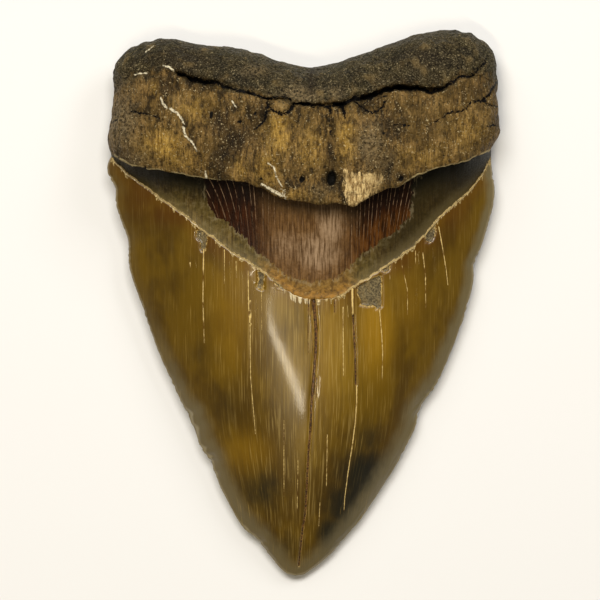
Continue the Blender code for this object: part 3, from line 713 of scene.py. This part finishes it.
class Shader:
    """One material's nodes. Patterns are measured in millimetres on the object's own coordinates."""

    def __init__(self, name):
        self.material = bpy.data.materials.new(name)
        self.material.use_nodes = True
        self.tree = self.material.node_tree
        self.surface = self.tree.nodes["Principled BSDF"]
        coordinates = self.add("ShaderNodeTexCoord").outputs["Object"]
        self.place = self.vector("SCALE", coordinates, scale=1 / MM)
        self.x, self.y, self.z = self.parts(self.place)

    def add(self, kind, **settings):
        node = self.tree.nodes.new(kind)
        for name, value in settings.items():
            setattr(node, name, value)
        return node

    def feed(self, socket, value):
        if isinstance(value, bpy.types.NodeSocket):
            self.tree.links.new(value, socket)
        else:
            socket.default_value = value

    def vector(self, operation, first, second=(0, 0, 0), scale=1):
        node = self.add("ShaderNodeVectorMath", operation=operation)
        self.feed(node.inputs[0], first)
        self.feed(node.inputs[1], second)
        self.feed(node.inputs[3], scale)
        return node.outputs["Value" if operation == "LENGTH" else "Vector"]

    def parts(self, vector):
        node = self.add("ShaderNodeSeparateXYZ")
        self.feed(node.inputs[0], vector)
        return node.outputs

    def join(self, x, y, z):
        node = self.add("ShaderNodeCombineXYZ")
        for socket, value in zip(node.inputs, (x, y, z)):
            self.feed(socket, value)
        return node.outputs[0]

    def math(self, operation, first, second=0):
        node = self.add("ShaderNodeMath", operation=operation)
        self.feed(node.inputs[0], first)
        self.feed(node.inputs[1], second)
        return node.outputs[0]

    def times(self, first, *others):
        for other in others:
            first = self.math("MULTIPLY", first, other)
        return first

    def most(self, first, second):
        return self.math("MAXIMUM", first, second)

    def off(self, value, middle=0):
        """How far the value lies from a middle, on either side."""
        return self.math("ABSOLUTE", self.math("SUBTRACT", value, middle))

    def shake(self, value, noise, amount):
        """The value, moved up or down by up to half the amount where the noise is high or low."""
        return self.math("ADD", value, self.times(self.math("SUBTRACT", noise, 0.5), amount))

    def fade(self, value, start, end, low=0, high=1):
        """Goes smoothly from low to high as the value goes from start to end."""
        node = self.add("ShaderNodeMapRange", interpolation_type="SMOOTHSTEP", clamp=True)
        for socket, number in zip(node.inputs[:5], (value, start, end, low, high)):
            self.feed(socket, number)
        return node.outputs[0]

    def mix(self, share, first, second):
        node = self.add("ShaderNodeMix", data_type="RGBA")
        self.feed(node.inputs[0], share)
        self.feed(node.inputs[6], first)
        self.feed(node.inputs[7], second)
        return node.outputs[2]

    def tones(self, share, first, second):
        """From one sRGB colour to another."""
        return self.mix(share, linear(*first), linear(*second))

    def tint(self, colour, share, tone):
        """The colour, turned towards an sRGB tone."""
        return self.mix(share, colour, linear(*tone))

    def noise(self, size, stretch=(1, 1, 1), detail=4, roughness=0.55, seed=0, place=None):
        """Fractal noise around 0.5, its features about size millimetres across times the stretch."""
        scaled = self.vector("DIVIDE", place or self.place, tuple(size * s for s in stretch))
        moved = self.vector("ADD", scaled, (seed, seed * 0.7, 0))
        node = self.add("ShaderNodeTexNoise")
        self.feed(node.inputs["Vector"], moved)
        self.feed(node.inputs["Scale"], 1)
        self.feed(node.inputs["Detail"], detail)
        self.feed(node.inputs["Roughness"], roughness)
        return node.outputs["Fac"]

    def value(self, name):
        return self.add("ShaderNodeAttribute", attribute_name=name).outputs["Fac"]

    def line(self, name, softness=0.08, wander=0, swell=1):
        """A crisp mask, 1 within the half width of the nearest line of a family."""
        stored = self.add("ShaderNodeAttribute", attribute_name=name).outputs["Vector"]
        far = self.vector("LENGTH", self.vector("MULTIPLY", stored, (1, 1, 0)))
        if wander:
            far = self.shake(far, self.noise(0.7, detail=2, seed=3), 2 * wander)
        past = self.math("SUBTRACT", far, self.times(self.value(name + "_width"), swell))
        return self.times(self.fade(past, softness, -softness), self.fade(self.parts(stored)[2], 3, 2))

    def bump(self, height, distance, strength=1, normal=None):
        """Relief: the height, 0 to 1, times a distance in millimetres."""
        node = self.add("ShaderNodeBump")
        self.feed(node.inputs["Height"], height)
        self.feed(node.inputs["Distance"], distance * MM)
        self.feed(node.inputs["Strength"], strength)
        if normal is not None:
            self.feed(node.inputs["Normal"], normal)
        return node.outputs["Normal"]

    def finish(self, colour, roughness, normal, **constants):
        self.feed(self.surface.inputs["Base Color"], colour)
        self.feed(self.surface.inputs["Roughness"], roughness)
        self.feed(self.surface.inputs["Normal"], normal)
        for name, value in constants.items():
            self.surface.inputs[name.replace("_", " ")].default_value = value
        return self.material


def belly_colour(s, broad, patches, fibres):
    """The root below its long crack: brown fibres with dark and pale blotches, stained gold in places."""
    clumps = s.noise(1.7, stretch=(1, 2.2, 2.2), roughness=0.65, seed=91)
    brown = s.tones(s.fade(fibres, 0.3, 0.7), (38, 28, 11), (128, 100, 54))
    brown = s.tint(brown, s.fade(broad, 0.58, 0.42, 0, 0.5), (76, 59, 25))
    blotches = s.times(s.fade(clumps, 0.52, 0.38), s.fade(s.x, 18, 28, 0.85, 0.45))
    brown = s.tint(brown, blotches, (28, 21, 9))
    brown = s.tint(brown, s.fade(clumps, 0.56, 0.68, 0, 0.45), (150, 120, 72))
    gold = s.tones(s.fade(fibres, 0.3, 0.7), (96, 68, 20), (178, 143, 68))
    gold = s.tint(gold, s.fade(clumps, 0.46, 0.32, 0, 0.65), (62, 43, 13))
    return s.mix(s.times(s.value("root_gold"), s.fade(patches, 0.3, 0.52)), brown, gold)


def crest_colour(s, broad, patches, grains):
    """The root above the crack: dark, granular, in grey-brown patches, with painted rim light along the
    outline.
    """
    crest = s.tones(s.fade(grains, 0.32, 0.7), (13, 11, 4), (50, 43, 22))
    crest = s.tint(crest, s.fade(patches, 0.5, 0.64, 0, 0.65), (62, 54, 32))
    crest = s.tint(crest, s.fade(broad, 0.54, 0.38, 0, 0.7), (13, 13, 7))
    salt = s.noise(0.35, detail=2, seed=83)
    crest = s.tint(crest, s.fade(salt, 0.54, 0.66, 0, 0.5), (128, 116, 86))
    # Painted rim light: paler along the root's outline.
    inland = s.shake(s.value("inland"), patches, 4)
    return s.tint(crest, s.fade(inland, 4, 1, 0, 0.3), (60, 57, 40))


def bone_tones_and_painted_shade(s, colour, patches, grains, fibres):
    """Grey stains, darker patches, the pale tongue of bare bone at the lip, and painted light and shade on
    the relief.
    """
    grey = s.tones(s.fade(grains, 0.36, 0.64), (50, 42, 27), (122, 104, 72))
    colour = s.mix(s.times(s.value("root_grey"), s.fade(patches, 0.2, 0.5)), colour, grey)
    # Darker patches of the root.
    darkening = s.times(s.value("root_dark"), s.fade(patches, 0.26, 0.46))
    colour = s.tint(colour, darkening, (30, 23, 13))
    cream = s.tones(s.fade(fibres, 0.38, 0.6), (122, 94, 52), (208, 180, 124))
    tongue = s.fade(s.shake(s.value("root_pale"), fibres, 5), -0.3, 0.4)
    tongue = s.times(tongue, s.fade(patches, 0.3, 0.5, 0.45, 1), s.fade(s.x, 19, 14, 0.45, 1))
    colour = s.mix(tongue, colour, cream)
    relief = s.value("relief")
    # Painted shade in the relief's hollows and painted light on its rises.
    colour = s.tint(colour, s.fade(relief, 0, -0.7, 0, 0.65), (22, 17, 10))
    return s.tint(colour, s.fade(relief, 0.1, 0.7, 0, 0.35), (152, 126, 78))


def bone_grains(s, colour, upper, patches, grains):
    """Dark and pale grains, thickest beside the cracks."""
    pepper = s.times(s.fade(grains, 0.43, 0.35), s.fade(upper, 0, 1, 0.55, 0.8))
    colour = s.tint(colour, pepper, (14, 11, 6))
    crumbs = s.noise(0.45, detail=2, roughness=0.6, seed=67)
    beside = s.line("root_cracks", softness=0.8, wander=1, swell=2.2)
    beside = s.most(s.times(beside, 0.9), s.times(s.value("root_dark"), 0.7))
    often = s.most(s.fade(patches, 0.44, 0.62, 0.1, 0.7), beside)
    often = s.times(often, s.fade(upper, 0, 1, 1, 0.6))
    return s.tint(colour, s.times(s.fade(crumbs, 0.6, 0.68), often), (188, 170, 128))


def pale_lip(s, colour):
    """The thin pale band that runs along the lip, away from the middle of the tooth."""
    outward = s.fade(s.off(s.x, 1), 20, 27, 0, 0.9)
    band = s.times(s.fade(s.value("lip_line"), 0.45, 0.2), s.fade(s.noise(2.5, seed=61), 0.36, 0.52))
    return s.tint(colour, s.times(band, outward), (170, 152, 106))


def bone_cracks(s, colour, patches, grains):
    """The pits, the open cracks and the white veins, and where the cracks and the veins are."""
    shade = s.line("root_cracks", softness=0.3, wander=0.8, swell=1.3)
    colour = s.tint(colour, s.times(shade, 0.35), (20, 15, 9))
    colour = s.tint(colour, s.fade(s.shake(s.value("pits"), patches, 0.8), 0.2, 0.55), (9, 7, 4))
    cracks = s.line("root_cracks", softness=0.05, wander=0.9, swell=0.85)
    colour = s.tint(colour, cracks, (7, 5, 4))
    veins = s.line("veins", softness=0.12, wander=0.3, swell=1.35)
    veins = s.times(veins, s.fade(grains, 0.32, 0.52, 0.15, 0.95))
    return s.tint(colour, veins, (216, 204, 172)), cracks, veins


def bone_material():
    """The root: fibrous brown bone, grey and granular above the long crack, with cracks and white veins."""
    s = Shader("root_bone")
    broad = s.noise(6, detail=2)
    patches = s.noise(2.4, roughness=0.62, seed=11)
    grains = s.noise(0.7, detail=3, roughness=0.65, seed=23)
    fibres = s.noise(0.5, stretch=(1, 4.5, 4.5), detail=5, roughness=0.72, seed=31)
    upper = s.fade(s.shake(s.value("crack_line"), patches, 8), -2, 2.2)
    belly = belly_colour(s, broad, patches, fibres)
    colour = s.mix(s.times(upper, 0.94), belly, crest_colour(s, broad, patches, grains))
    colour = bone_tones_and_painted_shade(s, colour, patches, grains, fibres)
    colour = bone_grains(s, colour, upper, patches, grains)
    colour, cracks, veins = bone_cracks(s, pale_lip(s, colour), patches, grains)
    outer_rim = s.times(s.fade(s.value("enamel_line"), 0.1, -0.05), s.value("hidden"))
    colour = s.tint(colour, outer_rim, (168, 142, 92))
    relief = s.bump(patches, 1, 0.7)
    relief = s.bump(grains, 0.4, 0.9, relief)
    relief = s.bump(s.times(fibres, s.fade(upper, 1, 0)), 0.3, 0.9, relief)
    relief = s.bump(s.math("SUBTRACT", veins, cracks), 0.3, 0.6, relief)
    return s.finish(colour, s.fade(grains, 0.35, 0.65, 0.8, 0.42), relief, IOR=1.18)


def shelf_colour(s, broad, medium, speckle, streaks):
    """The smooth olive shelf that runs beside the enamel, with painted shade under the lip, and darker to the
    right.
    """
    shelf = s.tones(s.fade(streaks, 0.36, 0.66), (56, 42, 15), (98, 80, 40))
    shelf = s.tint(shelf, s.fade(broad, 0.58, 0.42, 0, 0.5), (80, 68, 30))
    shelf = s.tint(shelf, s.fade(medium, 0.5, 0.66, 0, 0.45), (114, 100, 68))
    shelf = s.tint(shelf, s.fade(medium, 0.48, 0.34, 0, 0.5), (42, 34, 16))
    shelf = s.tint(shelf, s.fade(speckle, 0.42, 0.3, 0, 0.6), (34, 29, 16))
    shelf = s.tint(shelf, s.fade(s.x, 12, 24, 0, 0.8), (36, 28, 10))
    shelf = s.tint(shelf, s.fade(s.value("enamel_line"), 3.2, 0.6, 0, 0.25), (124, 110, 74))
    # Painted shade: nearly black under the overhanging lip.
    return s.tint(shelf, s.fade(s.value("lip_line"), -8, -0.8, 0, 0.93), (17, 16, 8))


def rough_colour(s, medium, speckle):
    """The crumbling dentine at the bottom of the V, brown with orange along the enamel."""
    rough = s.tones(s.fade(medium, 0.3, 0.66), (84, 60, 25), (124, 94, 42))
    orange = s.times(s.fade(s.value("enamel_line"), 3.2, 0.6), s.fade(medium, 0.34, 0.66))
    rough = s.tint(rough, s.times(orange, 0.5), (158, 112, 44))
    rough = s.tint(rough, s.fade(speckle, 0.62, 0.72, 0, 0.6), (176, 154, 104))
    return s.tint(rough, s.fade(speckle, 0.46, 0.32, 0, 0.5), (66, 46, 20))


def tubules(s):
    """Fine straight canals that run down from the lip, leaning in towards the middle of the tooth."""
    lean_left = s.times(s.math("MINIMUM", s.math("ADD", s.x, 10.5), 0), 0.042)
    lean_right = s.times(s.most(s.math("SUBTRACT", s.x, 12), 0), 0.016)
    below = s.math("SUBTRACT", 30, s.y)
    x = s.math("ADD", s.x, s.times(s.math("ADD", lean_left, lean_right), below))
    lines = s.join(x, s.times(s.y, 0.02), 0)
    x = s.shake(x, s.noise(2.4, detail=2, seed=43, place=lines), 2.2)
    crowding = s.math("ADD", s.times(x, 0.0046), 0.715)
    phase = s.math("PINGPONG", s.times(x, crowding), 0.5)
    beads = s.noise(0.8, stretch=(1, 2, 2), detail=3, seed=47)
    return s.times(s.fade(phase, 0.09, 0.015), s.fade(beads, 0.36, 0.62))


def hollow_colour(s, off_middle, medium, streaks):
    """The hollow under the lip: dark red-brown at both sides, silky grey-pink in the middle, with painted
    shade under the lip and a painted sheen in the middle.
    """
    under_lip = s.value("lip_line")
    middle = s.fade(s.shake(off_middle, medium, 5), 15.5, 6)
    dentine = s.tones(s.fade(streaks, 0.3, 0.72), (19, 7, 1), (56, 26, 5))
    russet = s.times(s.fade(s.x, 8, 13), s.fade(under_lip, -3, -7.5))
    dentine = s.tint(dentine, s.times(russet, s.fade(streaks, 0.4, 0.62, 0.1, 0.6)), (94, 58, 18))
    # Painted shade: the dentine darkens towards the lip that overhangs it.
    dentine = s.tint(dentine, s.fade(under_lip, -8, -2.5, 0, 0.8), (16, 7, 3))
    silk = s.tones(s.fade(streaks, 0.28, 0.72), (62, 40, 14), (110, 80, 44))
    silk = s.tint(silk, s.fade(medium, 0.5, 0.34, 0, 0.35), (66, 42, 20))
    # Painted sheen on the silky middle of the hollow.
    sheen = s.fade(s.shake(s.value("painted_neck_sheen"), medium, 0.8), 0.1, 1)
    silk = s.tint(silk, s.times(sheen, s.fade(streaks, 0.36, 0.64, 0.1, 0.85)), (152, 127, 98))
    # Painted shade: the silk darkens towards the lip.
    silk = s.tint(silk, s.fade(under_lip, -5, -0.5, 0, 0.6), (54, 40, 20))
    colour = s.mix(middle, dentine, silk)
    visible = s.fade(under_lip, -10, -4, 0.25, 0.65)
    return s.tint(colour, s.times(tubules(s), visible, s.fade(middle, 0.3, 1, 1, 0.4)), (160, 130, 98))


def dentine_material():
    """The neck: an olive shelf along the enamel, and striped red-brown dentine in the hollow above it."""
    s = Shader("neck_dentine")
    broad = s.noise(5, detail=3, seed=7)
    medium = s.noise(1.3, roughness=0.6, seed=19)
    speckle = s.noise(0.5, detail=3, roughness=0.65, seed=29)
    streaks = s.noise(0.45, stretch=(1, 11, 11), roughness=0.6, seed=37)
    fringe = s.noise(0.6, stretch=(1, 4, 4), detail=3, roughness=0.6, seed=49)
    off_middle = s.off(s.x, 1)
    middle = s.fade(s.shake(off_middle, broad, 8), 13, 7)
    past_shelf = s.shake(s.shake(s.value("shelf_line"), fringe, 2.4), medium, 2.6)
    shelf = s.mix(middle, shelf_colour(s, broad, medium, speckle, streaks), rough_colour(s, medium, speckle))
    frayed = s.times(s.fade(past_shelf, -1.2, -0.2), s.fade(fringe, 0.45, 0.6, 0, 0.4))
    shelf = s.tint(shelf, frayed, (128, 116, 88))
    colour = s.mix(s.fade(past_shelf, -0.12, 0.12), shelf, hollow_colour(s, off_middle, medium, streaks))
    broken = s.shake(s.value("enamel_line"), speckle, 0.9)
    rim = s.times(s.fade(broken, 0.2, 0.02), s.fade(off_middle, 4, 11))
    colour = s.tint(colour, s.times(rim, s.fade(medium, 0.36, 0.5, 0.3, 1)), (164, 142, 94))
    relief = s.bump(streaks, 0.2, 0.5)
    relief = s.bump(speckle, 0.2, 0.5, relief)
    relief = s.bump(s.times(medium, middle), 0.4, 0.5, relief)
    return s.finish(colour, s.fade(speckle, 0.35, 0.65, 0.36, 0.58), relief, IOR=1.18)


def amber_colour(s, broad, medium, streaks, fine):
    """The enamel's colour: broad amber, gold, red and smoky patches, fine lengthwise streaks, a painted
    sheen.
    """
    amber = s.tones(s.fade(broad, 0.38, 0.62), (72, 51, 1), (92, 68, 3))
    amber = s.tint(amber, s.times(s.value("crown_gold"), 0.8), (152, 113, 16))
    # Painted sheen, where the crown catches the light.
    amber = s.tint(amber, s.times(s.value("painted_crown_sheen"), 0.6), (134, 106, 30))
    near_line = s.shake(s.value("enamel_line"), medium, 2)
    amber = s.tint(amber, s.fade(near_line, -4.5, -0.8, 0, 0.25), (100, 58, 4))
    amber = s.tint(amber, s.times(s.value("crown_red"), 0.75), (70, 38, 1))
    smoke = s.shake(s.value("crown_dark"), medium, 0.5)
    amber = s.tint(amber, s.fade(smoke, 0, 1, 0, 0.92), (18, 20, 13))
    inward = s.times(s.fade(s.off(s.x), 26, 8, 0.25, 1), s.fade(smoke, 0.1, 0.8, 1, 0.2))
    amber = s.tint(amber, s.times(s.fade(streaks, 0.52, 0.74, 0, 0.2), inward), (160, 132, 58))
    amber = s.tint(amber, s.times(s.fade(streaks, 0.47, 0.28, 0, 0.22), inward), (48, 37, 7))
    amber = s.tint(amber, s.times(s.fade(fine, 0.54, 0.7, 0, 0.3), inward), (176, 150, 86))
    return s.tint(amber, s.times(s.fade(fine, 0.46, 0.3, 0, 0.28), inward), (52, 40, 12))


def pale_edges_and_rim_light(s, amber, medium):
    """The thin enamel along the cutting edges, paler and wider towards the tip and to the right: partly its
    own paler tone, partly painted rim light.
    """
    inland = s.value("inland")
    reach = s.math("DIVIDE", s.shake(inland, medium, 2.4), s.fade(s.y, 20, -40, 0.75, 1.3))
    side = s.most(s.fade(s.x, -20, 18, 0.15, 1), s.fade(s.y, 10, -30, 0, 0.9))
    # The pale band: partly the thin enamel's own paler tone, partly painted rim light.
    amber = s.tint(amber, s.times(s.fade(reach, 4.2, 1, 0, 0.9), side), (104, 93, 64))
    # Painted highlight: a paler line along the very edge.
    return s.tint(amber, s.fade(inland, 0.7, 0.15, 0, 0.6), (150, 138, 108))


def flaked(s, amber, medium, speckle, crumbs):
    """The flaked-off patches, grainy and grey-brown with a chipped pale edge, and how much of them shows."""
    flake = s.shake(s.value("flake"), speckle, 1.1)
    halo = s.times(s.fade(flake, -0.3, -0.15), s.fade(s.noise(0.9, seed=73), 0.42, 0.58, 0, 0.85))
    stone = s.tones(s.fade(crumbs, 0.34, 0.66), (58, 48, 28), (138, 122, 84))
    stone = s.tint(stone, s.fade(medium, 0.5, 0.36, 0, 0.35), (48, 42, 28))
    stone = s.tint(stone, s.times(s.fade(medium, 0.5, 0.6), 0.4), (120, 98, 54))
    lost = s.fade(flake, -0.06, 0.06)
    return s.mix(lost, s.tint(amber, halo, (190, 160, 94)), stone), lost


def enamel_cracks(s, colour, medium, speckle):
    """The pale, dark and open cracks, and how deep each is."""
    pale = s.line("pale_splits", softness=0.07, wander=0.12, swell=0.8)
    pale = s.times(pale, s.fade(s.noise(1.2, stretch=(1, 3, 1), seed=57), 0.33, 0.52))
    colour = s.tint(colour, s.times(s.line("pale_splits", softness=0.14, swell=1.8), 0.3), (84, 48, 10))
    colour = s.tint(colour, pale, (204, 176, 108))
    outer = s.line("outer_splits", softness=0.06, wander=0.1)
    colour = s.tint(colour, outer, (60, 44, 22))
    beside = s.line("dark_splits", softness=0.1, wander=0.2, swell=1.5)
    colour = s.tint(colour, s.times(beside, s.fade(medium, 0.4, 0.6, 0.1, 0.6)), (176, 144, 80))
    dark = s.line("dark_splits", softness=0.06, wander=0.18, swell=0.85)
    fill = s.tones(s.fade(speckle, 0.4, 0.64), (38, 20, 3), (112, 76, 30))
    colour = s.mix(dark, colour, fill)
    return colour, s.most(s.most(dark, outer), s.times(pale, 0.4))


def torn_edge(s, colour, medium, crumbs):
    """The pale broken edge of the enamel along the neck, splintered at the bottom of the V."""
    teeth = s.noise(0.8, stretch=(1, 400, 400), detail=2, seed=71)
    reach = s.times(s.fade(teeth, 0.42, 0.66), s.fade(s.off(s.x), 14, 4, 0.8, 1.6))
    torn = s.math("ADD", s.value("enamel_line"), reach)
    edge = s.tones(s.fade(crumbs, 0.4, 0.6), (96, 78, 40), (186, 162, 108))
    chips = s.times(s.fade(s.off(s.x, -2), 6, 2.5), s.fade(teeth, 0.5, 0.6))
    edge = s.tint(edge, s.times(chips, 0.65), (204, 190, 154))
    return s.mix(s.times(s.fade(torn, -0.32, -0.2), s.fade(medium, 0.34, 0.46, 0.45, 1)), colour, edge)


def enamel_material():
    """The crown: glossy amber enamel with fine lengthwise streaks, smoky patches and old cracks."""
    s = Shader("enamel")
    narrowing = s.fade(s.y, -22, -64, 1, 0.72)
    along_crown = s.join(s.math("DIVIDE", s.math("ADD", s.x, 1.5), narrowing), s.y, s.z)
    broad = s.noise(9, stretch=(1, 1.8, 1), detail=3, seed=3)
    medium = s.noise(2.2, stretch=(1, 2.2, 1), seed=13)
    speckle = s.noise(0.5, detail=3, roughness=0.65, seed=27)
    crumbs = s.noise(0.42, roughness=0.8, seed=77)
    streaks = s.noise(0.7, stretch=(1, 32, 10), roughness=0.65, seed=35, place=along_crown)
    fine = s.noise(0.3, stretch=(1, 34, 16), detail=2, seed=45, place=along_crown)
    amber = amber_colour(s, broad, medium, streaks, fine)
    amber = pale_edges_and_rim_light(s, amber, medium)
    hairs = s.noise(0.28, stretch=(1, 45, 20), detail=1, seed=45, place=along_crown)
    hairs = s.times(s.fade(hairs, 0.66, 0.76), s.fade(broad, 0.46, 0.68, 0, 0.4))
    amber = s.tint(amber, hairs, (186, 154, 80))
    colour, lost = flaked(s, amber, medium, speckle, crumbs)
    colour = torn_edge(s, colour, medium, crumbs)
    colour, deep = enamel_cracks(s, colour, medium, speckle)
    seams = s.most(deep, lost)
    relief = s.bump(streaks, 0.07, 0.5)
    relief = s.bump(fine, 0.02, 0.5, relief)
    relief = s.bump(medium, 0.3, 0.15, relief)
    relief = s.bump(s.math("SUBTRACT", 1, seams), 0.25, 0.7, relief)
    relief = s.bump(s.times(lost, crumbs), 0.5, 0.9, relief)
    roughness = s.fade(seams, 0, 1, 0.36, 0.8)
    return s.finish(colour, roughness, relief, IOR=1.38, Coat_Weight=0.28, Coat_Roughness=0.1)


def dress(tooth):
    """Gives each region its material, in the regions' order, and puts the tooth in the solid's place."""
    bone, dentine, enamel = bone_material(), dentine_material(), enamel_material()
    for material in (bone, dentine, enamel, bone, enamel):
        tooth.data.materials.append(material)
    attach(tooth, "root")
    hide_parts(NODE)


# Studio

def add_floor():
    bm = bmesh.new()
    bmesh.ops.create_grid(bm, x_segments=1, y_segments=1, size=1.5)
    mesh = bpy.data.meshes.new("floor")
    bm.to_mesh(mesh)
    bm.free()
    floor = bpy.data.objects.new("floor", mesh)
    bpy.context.scene.collection.objects.link(floor)
    paint = Shader("floor_paint")
    relief = paint.bump(paint.noise(3), 0.01, 0.1)
    mesh.materials.append(paint.finish((0.72, 0.715, 0.70, 1), 0.8, relief))


def add_light(name, place, size, power, colour=(1, 1, 1), turn=0):
    """A softbox that faces the tooth, turned about its own axis."""
    data = bpy.data.lights.new(name, "AREA")
    data.shape = "RECTANGLE"
    data.size, data.size_y = size
    data.energy = power
    data.color = colour
    light = bpy.data.objects.new(name, data)
    light.location = place
    facing = (-Vector(place)).to_track_quat("-Z", "Y")
    light.rotation_euler = (facing @ Quaternion((0, 0, 1), turn)).to_euler()
    bpy.context.scene.collection.objects.link(light)


def add_studio():
    add_light("key_light", (-0.1, 0.6, 1.2), (1, 0.5), 20, (1, 0.97, 0.92))
    add_light("left_light", (-0.5, 0.8, 0.7), (0.5, 0.4), 1.5)
    add_light("right_light", (0.7, 0.7, 0.7), (0.5, 0.4), 4)
    add_light("streak_light", (-0.11, -0.235, 0.9), (0.045, 0.32), 1.9, (1, 0.87, 0.64), turn=-1.69)
    world = bpy.data.worlds.new("studio")
    world.use_nodes = True
    world.node_tree.nodes["Background"].inputs["Color"].default_value = (1, 0.95, 0.87, 1)
    world.node_tree.nodes["Background"].inputs["Strength"].default_value = 0.09
    bpy.context.scene.world = world
    bpy.context.scene.view_settings.view_transform = "Standard"


PHOTO_FIELD = 0.150
PHOTO_CENTRE = (-1, 0.5 + PLAN_SHIFT)
CAMERA_HEIGHT = 1.5
MIDDLE_HEIGHT = 0.010


def add_camera():
    """Straight above the tooth, its view as wide as the photograph's at the height of the outline."""
    data = bpy.data.cameras.new("camera")
    data.sensor_width = 36
    data.lens = data.sensor_width * (CAMERA_HEIGHT - MIDDLE_HEIGHT) / PHOTO_FIELD
    data.clip_start, data.clip_end = 0.01, 10
    camera = bpy.data.objects.new("camera", data)
    camera.location = (PHOTO_CENTRE[0] * MM, PHOTO_CENTRE[1] * MM, CAMERA_HEIGHT)
    bpy.context.scene.collection.objects.link(camera)
    bpy.context.scene.camera = camera


dress(build_tooth())
add_floor()
add_studio()
add_camera()
